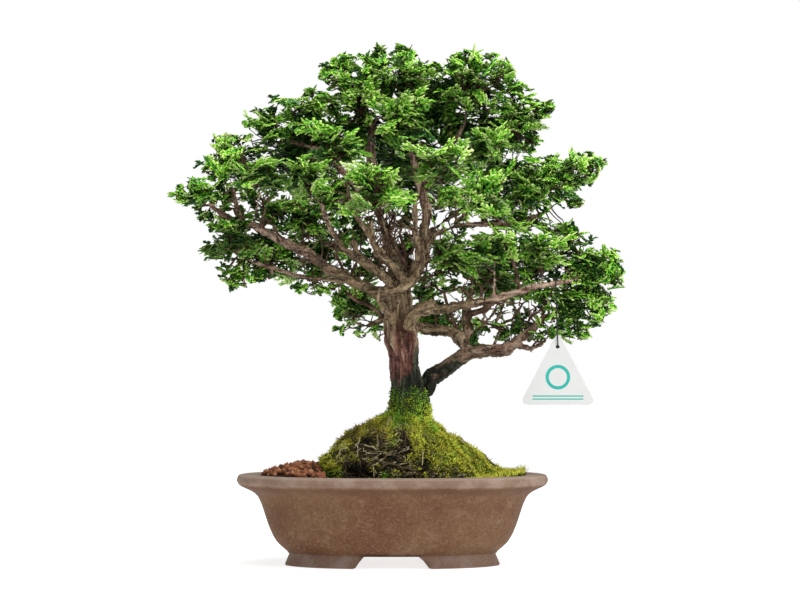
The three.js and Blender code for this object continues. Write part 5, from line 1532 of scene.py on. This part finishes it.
# small crooked limbs and dead twigs under the leaves: first radius, then the way as (across, depth, height)
twigs = [
    (0.0024, [(-0.009, -0.004, 0.244), (-0.024, -0.01, 0.256), (-0.037, -0.012, 0.261),
              (-0.048, -0.01, 0.271)]),
    (0.0036, [(0.074, 0.018, 0.248), (0.0855, 0.01, 0.2515), (0.0965, 0.0, 0.256), (0.107, -0.012, 0.261),
              (0.115, -0.022, 0.267)]),
    (0.0015, [(0.0815, 0.012, 0.227), (0.0875, 0.012, 0.234), (0.0935, 0.012, 0.238),
              (0.1015, 0.012, 0.237), (0.1055, 0.012, 0.231), (0.1055, 0.012, 0.224), (0.1015, 0.01, 0.218)]),
    (0.0015, [(0.0905, 0.012, 0.237), (0.0915, 0.012, 0.246), (0.0945, 0.01, 0.251),
              (0.1015, 0.006, 0.257)]),
    (0.0015, [(0.0905, 0.014, 0.239), (0.0975, 0.014, 0.244), (0.1015, 0.012, 0.249),
              (0.1065, 0.006, 0.259)]),
    (0.0016, [(0.1035, 0.012, 0.237), (0.1065, 0.01, 0.246), (0.1085, 0.006, 0.251), (0.1105, 0.0, 0.258),
              (0.1155, -0.01, 0.265)]),
    (0.0017, [(0.1045, 0.014, 0.236), (0.1135, 0.014, 0.24), (0.1215, 0.012, 0.244), (0.1255, 0.01, 0.25),
              (0.1285, 0.006, 0.256), (0.1325, 0.0, 0.26)]),
    (0.0014, [(0.1045, 0.016, 0.237), (0.1155, 0.018, 0.237), (0.1215, 0.018, 0.239),
              (0.13, 0.016, 0.243)]),
    (0.0015, [(0.0625, 0.01, 0.256), (0.0595, 0.012, 0.246), (0.0625, 0.014, 0.237),
              (0.0675, 0.014, 0.227)]),
    (0.0014, [(0.0495, 0.01, 0.253), (0.0535, 0.012, 0.25), (0.0595, 0.014, 0.244),
              (0.0675, 0.014, 0.235)]),
    (0.0015, [(0.1405, 0.006, 0.247), (0.1375, 0.008, 0.244), (0.1325, 0.01, 0.237),
              (0.1265, 0.006, 0.226)]),
    (0.0014, [(0.1545, 0.002, 0.257), (0.1455, 0.004, 0.25), (0.1385, 0.006, 0.243)]),
    (0.0012, [(0.1405, 0.0, 0.216), (0.1455, 0.0, 0.222), (0.1505, 0.0, 0.228), (0.153, 0.0, 0.232)]),
    (0.0012, [(0.1455, 0.0, 0.22), (0.1515, 0.002, 0.2205), (0.1555, 0.002, 0.226)]),
    (0.0016, [(0.054, -0.022, 0.257), (0.051, -0.01, 0.27), (0.038, 0.0, 0.276), (0.028, 0.006, 0.274)]),
    (0.0014, [(0.077, -0.026, 0.262), (0.069, -0.016, 0.272), (0.06, -0.01, 0.272),
              (0.048, -0.004, 0.268)]),
    (0.0015, [(0.088, -0.028, 0.262), (0.087, -0.018, 0.274), (0.08, -0.01, 0.281), (0.07, -0.004, 0.286)]),
    (0.0014, [(0.102, -0.03, 0.264), (0.1, -0.022, 0.277), (0.091, -0.014, 0.282), (0.084, -0.01, 0.294)]),
    (0.0021, [(0.125, -0.03, 0.271), (0.124, -0.022, 0.283), (0.119, -0.012, 0.3), (0.112, -0.006, 0.312)]),
    (0.0016, [(0.02, 0.002, 0.28), (0.035, 0.01, 0.286), (0.048, 0.016, 0.29), (0.063, 0.022, 0.296)]),
    (0.0022, [(0.009, 0.0, 0.288), (0.012, 0.006, 0.314), (0.007, 0.012, 0.331), (0.013, 0.016, 0.35)]),
    (0.0019, [(0.016, -0.012, 0.292), (0.006, -0.02, 0.308), (0.0, -0.026, 0.322), (0.004, -0.03, 0.341),
              (-0.004, -0.034, 0.357)]),
    (0.0018, [(-0.092, -0.016, 0.309), (-0.1, -0.02, 0.317), (-0.112, -0.022, 0.326),
              (-0.122, -0.02, 0.338)]),
    (0.0018, [(-0.128, -0.012, 0.33), (-0.131, -0.014, 0.339), (-0.127, -0.012, 0.352),
              (-0.133, -0.01, 0.365)]),
    (0.0017, [(-0.042, -0.014, 0.281), (-0.052, -0.006, 0.297), (-0.057, 0.0, 0.315),
              (-0.053, 0.006, 0.332)]),
    (0.0018, [(-0.03, -0.01, 0.276), (-0.04, 0.004, 0.288), (-0.036, 0.014, 0.3), (-0.044, 0.02, 0.314)]),
    (0.0015, [(-0.018, -0.018, 0.29), (-0.028, -0.006, 0.296), (-0.034, 0.006, 0.309),
              (-0.03, 0.012, 0.322)]),
    (0.0016, [(-0.152, -0.008, 0.34), (-0.159, -0.004, 0.352), (-0.17, -0.002, 0.36),
              (-0.173, 0.0, 0.372)]),
]


twiggery = {
    "limbsPerSpray": 5, "limbSteps": 8, "limbRadius": (0.0012, 0.0021), "limbEnd": 0.45, "limbWander": 0.0011,
    "stalkRadii": (0.0008, 0.0006, 0.0004), "wander": 0.0008,
    "listedSteps": 10, "forks": 3, "forkReach": (0.010, 0.020), "forkWander": 0.0007,
    "stray": 300, "strayReach": (0.008, 0.030), "strayRadius": (0.0007, 0.0014), "straySteps": 7,
}


def twigFinish():
    # red brown shoots with grey weathered bark, darker in the crown's top as painted shade
    finish = Finish("twig_bark", roughness=0.85, specular=0.2)
    fine = finish.noise(finish.place(), 340.0, 4.0)
    shade = fine * 0.5 + finish.layer("tone") * 0.5
    finish.feed("Base Color", finish.ramp(shade, (0.25, "1f1410"), (0.5, "5a4234"),
                                          (0.8, "98836f")))
    finish.bump(fine, 0.0006)
    return finish


def handTwigs(random):
    # every listed twig is smoothed and kinked; side twigs fork from it at random
    steps, paths, radii = twiggery["listedSteps"], [], []
    for radius, way in twigs:
        line = smoothLine(way, steps) + centre
        line[1:-1] += random.normal(0, twiggery["wander"], (steps - 2, 3))
        paths.append(line)
        radii.append(radius * np.linspace(1, 0.5, steps))
        for side in range(twiggery["forks"]):
            root = line[random.integers(2, steps - 1)]
            reach = random.uniform(*twiggery["forkReach"])
            reach = reach * unit(random.normal(size=3) * [1, 1, 0.5] + [0, 0, 0.9])
            turns = (place[None] for place in (root, root + 0.4 * reach, root + reach))
            paths.append(crooked(*turns, steps, twiggery["forkWander"], random)[0])
            radii.append(0.55 * radius * np.linspace(1, 0.45, steps))
    return np.array(paths), np.array(radii)


def strayTwigs(barkPlaces, barkNormals, random):
    # short twigs stand off the limbs all over the crown
    x, y, z = (barkPlaces - centre).T
    onLimbs = (z > 0.262) | ((z > 0.226) & (np.hypot(x - 0.006, y) > 0.035))
    weight = onLimbs * (1 + 4 * hump((x, 0, 0.035), (z, 0.335, 0.03)))
    chosen = random.choice(len(z), twiggery["stray"], p=weight / weight.sum())
    places, normals, steps = barkPlaces[chosen], barkNormals[chosen], twiggery["straySteps"]
    reach = random.uniform(*twiggery["strayReach"], (len(chosen), 1))
    ahead = unit(normals + [0, 0, 0.9] + 0.5 * random.normal(size=normals.shape))
    start = places - 0.001 * normals
    bend = start + 0.5 * reach * unit(ahead + 0.5 * random.normal(size=ahead.shape))
    paths = crooked(start, bend, start + reach * ahead, steps, twiggery["wander"], random)
    radii = random.uniform(*twiggery["strayRadius"], (len(chosen), 1))
    return paths, np.linspace(1, 0.4, steps)[None] * radii


def sprayLimbs(sprays, barkPlaces, random):
    # in each spray a few small limbs fork from the wood nearest to it, and the fronds' stalks from them
    steps, wander = twiggery["limbSteps"], twiggery["wander"]
    limbs, stalks, stout = [], [], []
    for heart, roots, ends in (spray for spray in sprays if len(spray[1])):
        fork = barkPlaces[np.argmin(((barkPlaces - heart) ** 2).sum(1))]
        count = min(twiggery["limbsPerSpray"], max(1, len(roots) // 4))
        hubs = roots[random.choice(len(roots), count, replace=False)]
        for step in range(4):
            nearest = ((roots[:, None] - hubs[None]) ** 2).sum(-1).argmin(1)
            hubs = np.array([roots[nearest == i].mean(0) if (nearest == i).any() else hub
                             for i, hub in enumerate(hubs)])
        bend = 0.6 * heart + 0.4 * hubs - [0, 0, 0.004]
        paths = crooked(np.tile(fork, (count, 1)), bend, hubs, steps, twiggery["limbWander"], random)
        limbs.append(paths)
        stout.append(np.full(count, np.clip(0.42 + len(roots) / 60, 0, 1)))
        off = paths[nearest, random.integers(4, steps, len(roots))]
        stalks.append(crooked(off, 0.5 * off + 0.5 * roots - [0, 0, 0.002], ends, 3, wander, random))
    limbs, stalks = np.concatenate(limbs), np.concatenate(stalks)
    taper = np.linspace(1, twiggery["limbEnd"], steps)[None]
    thick = taper * random.uniform(*twiggery["limbRadius"], (len(limbs), 1)) * np.concatenate(stout)[:, None]
    thin = np.array([twiggery["stalkRadii"]]) * random.uniform(0.8, 1.2, (len(stalks), 1))
    return (limbs, thick), (stalks, thin)


def makeTwigs(sprays, barkPlaces, barkNormals, random):
    limbs, stalks = sprayLimbs(sprays, barkPlaces, random)
    listed, stray = handTwigs(random), strayTwigs(barkPlaces, barkNormals, random)
    groups = ((limbs, 3), (stalks, 3), (listed, 7), (stray, 3))
    points, faces = joined([tubes(*lines, sides) for lines, sides in groups])
    # twigs high in the crown are painted darker as shade
    tone = 0.45 + 0.25 * ripples(points, 0.012, 71) - 0.3 * smoothstep(points[:, 2] - centre[2], 0.36, 0.44)
    finishPiece(makeMesh("twigs", points, faces, {"tone": np.clip(tone, 0, 1)}), twigFinish(), "bark")


def makeFoliage(barkPlaces, barkNormals):
    names = sorted(name for name in nodes if name.startswith("foliage_"))
    sizes = np.array([np.prod([b - a for a, b in zip(*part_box(name))]) ** (2 / 3) for name in names])
    counts = [np.round(foliage[kind] * sizes / sizes.sum()).astype(int) for kind in ("fronds", "innerFronds")]
    finish = frondFinish()
    sprays = [makeFronds(name, outer, inner, finish, np.random.default_rng([29, i]))
              for i, (name, outer, inner) in enumerate(zip(names, *counts))]
    sprays += makeBetween(finish)
    makeTwigs(sprays, barkPlaces, barkNormals, np.random.default_rng(29))


makeFoliage(barkPlaces, barkNormals)


# drain screens

def screenFinish():
    finish = Finish("black_mesh", specular=0.4)
    fine = finish.noise(finish.place(), 300.0)
    finish.feed("Base Color", finish.mix(fine, "141513", "2a2c29"))
    finish.feed("Roughness", 0.45 + 0.2 * fine)
    return finish


for side in ("left", "right"):
    coat(nodes["drain_screen_" + side], screenFinish())


# stage

def makeStage():
    # a white floor that runs out into the white of the sky
    around = studio["floorAround"]
    turn = anglesRound(around)
    level = studio["floorLevel"]
    rings = [np.stack([radius * np.cos(turn), radius * np.sin(turn), np.full(around, level)], -1)
             for radius in studio["floorRings"]]
    points = np.concatenate([*rings, [[0, 0, level]]])
    spot = np.arange(around)
    inner = np.stack([np.full(around, len(points) - 1), spot, (spot + 1) % around], -1)
    outer = gridFaces(len(rings), around)[:, ::-1]
    floor = makeMesh("floor", points, np.concatenate([outer, inner]))
    finish = Finish("floor_white", roughness=0.9)
    finish.shader.inputs["Base Color"].default_value = (0.5, 0.5, 0.5, 1)
    away = finish.node("ShaderNodeVectorMath", {"operation": "LENGTH"}, {0: finish.place()}, "Value")
    glow = finish.mask(away, 0.25, 1.1)
    finish.feed("Emission Color", finish.mix(glow, (0.76, 0.76, 0.76, 1), (1, 1, 1, 1)))
    finish.shader.inputs["Emission Strength"].default_value = 1.0
    floor.data.materials.append(finish.material)
    world = bpy.data.worlds.new("white")
    world.use_nodes = True
    bpy.context.scene.world = world
    tree = world.node_tree
    sky = tree.nodes["Background"]
    sky.inputs["Color"].default_value = (1, 1, 1, 1)
    path = tree.nodes.new("ShaderNodeLightPath")
    strength = tree.nodes.new("ShaderNodeMapRange")
    tree.links.new(path.outputs["Is Camera Ray"], strength.inputs["Value"])
    strength.inputs["To Min"].default_value = studio["sky"]
    strength.inputs["To Max"].default_value = 1.0
    tree.links.new(strength.outputs["Result"], sky.inputs["Strength"])


makeStage()
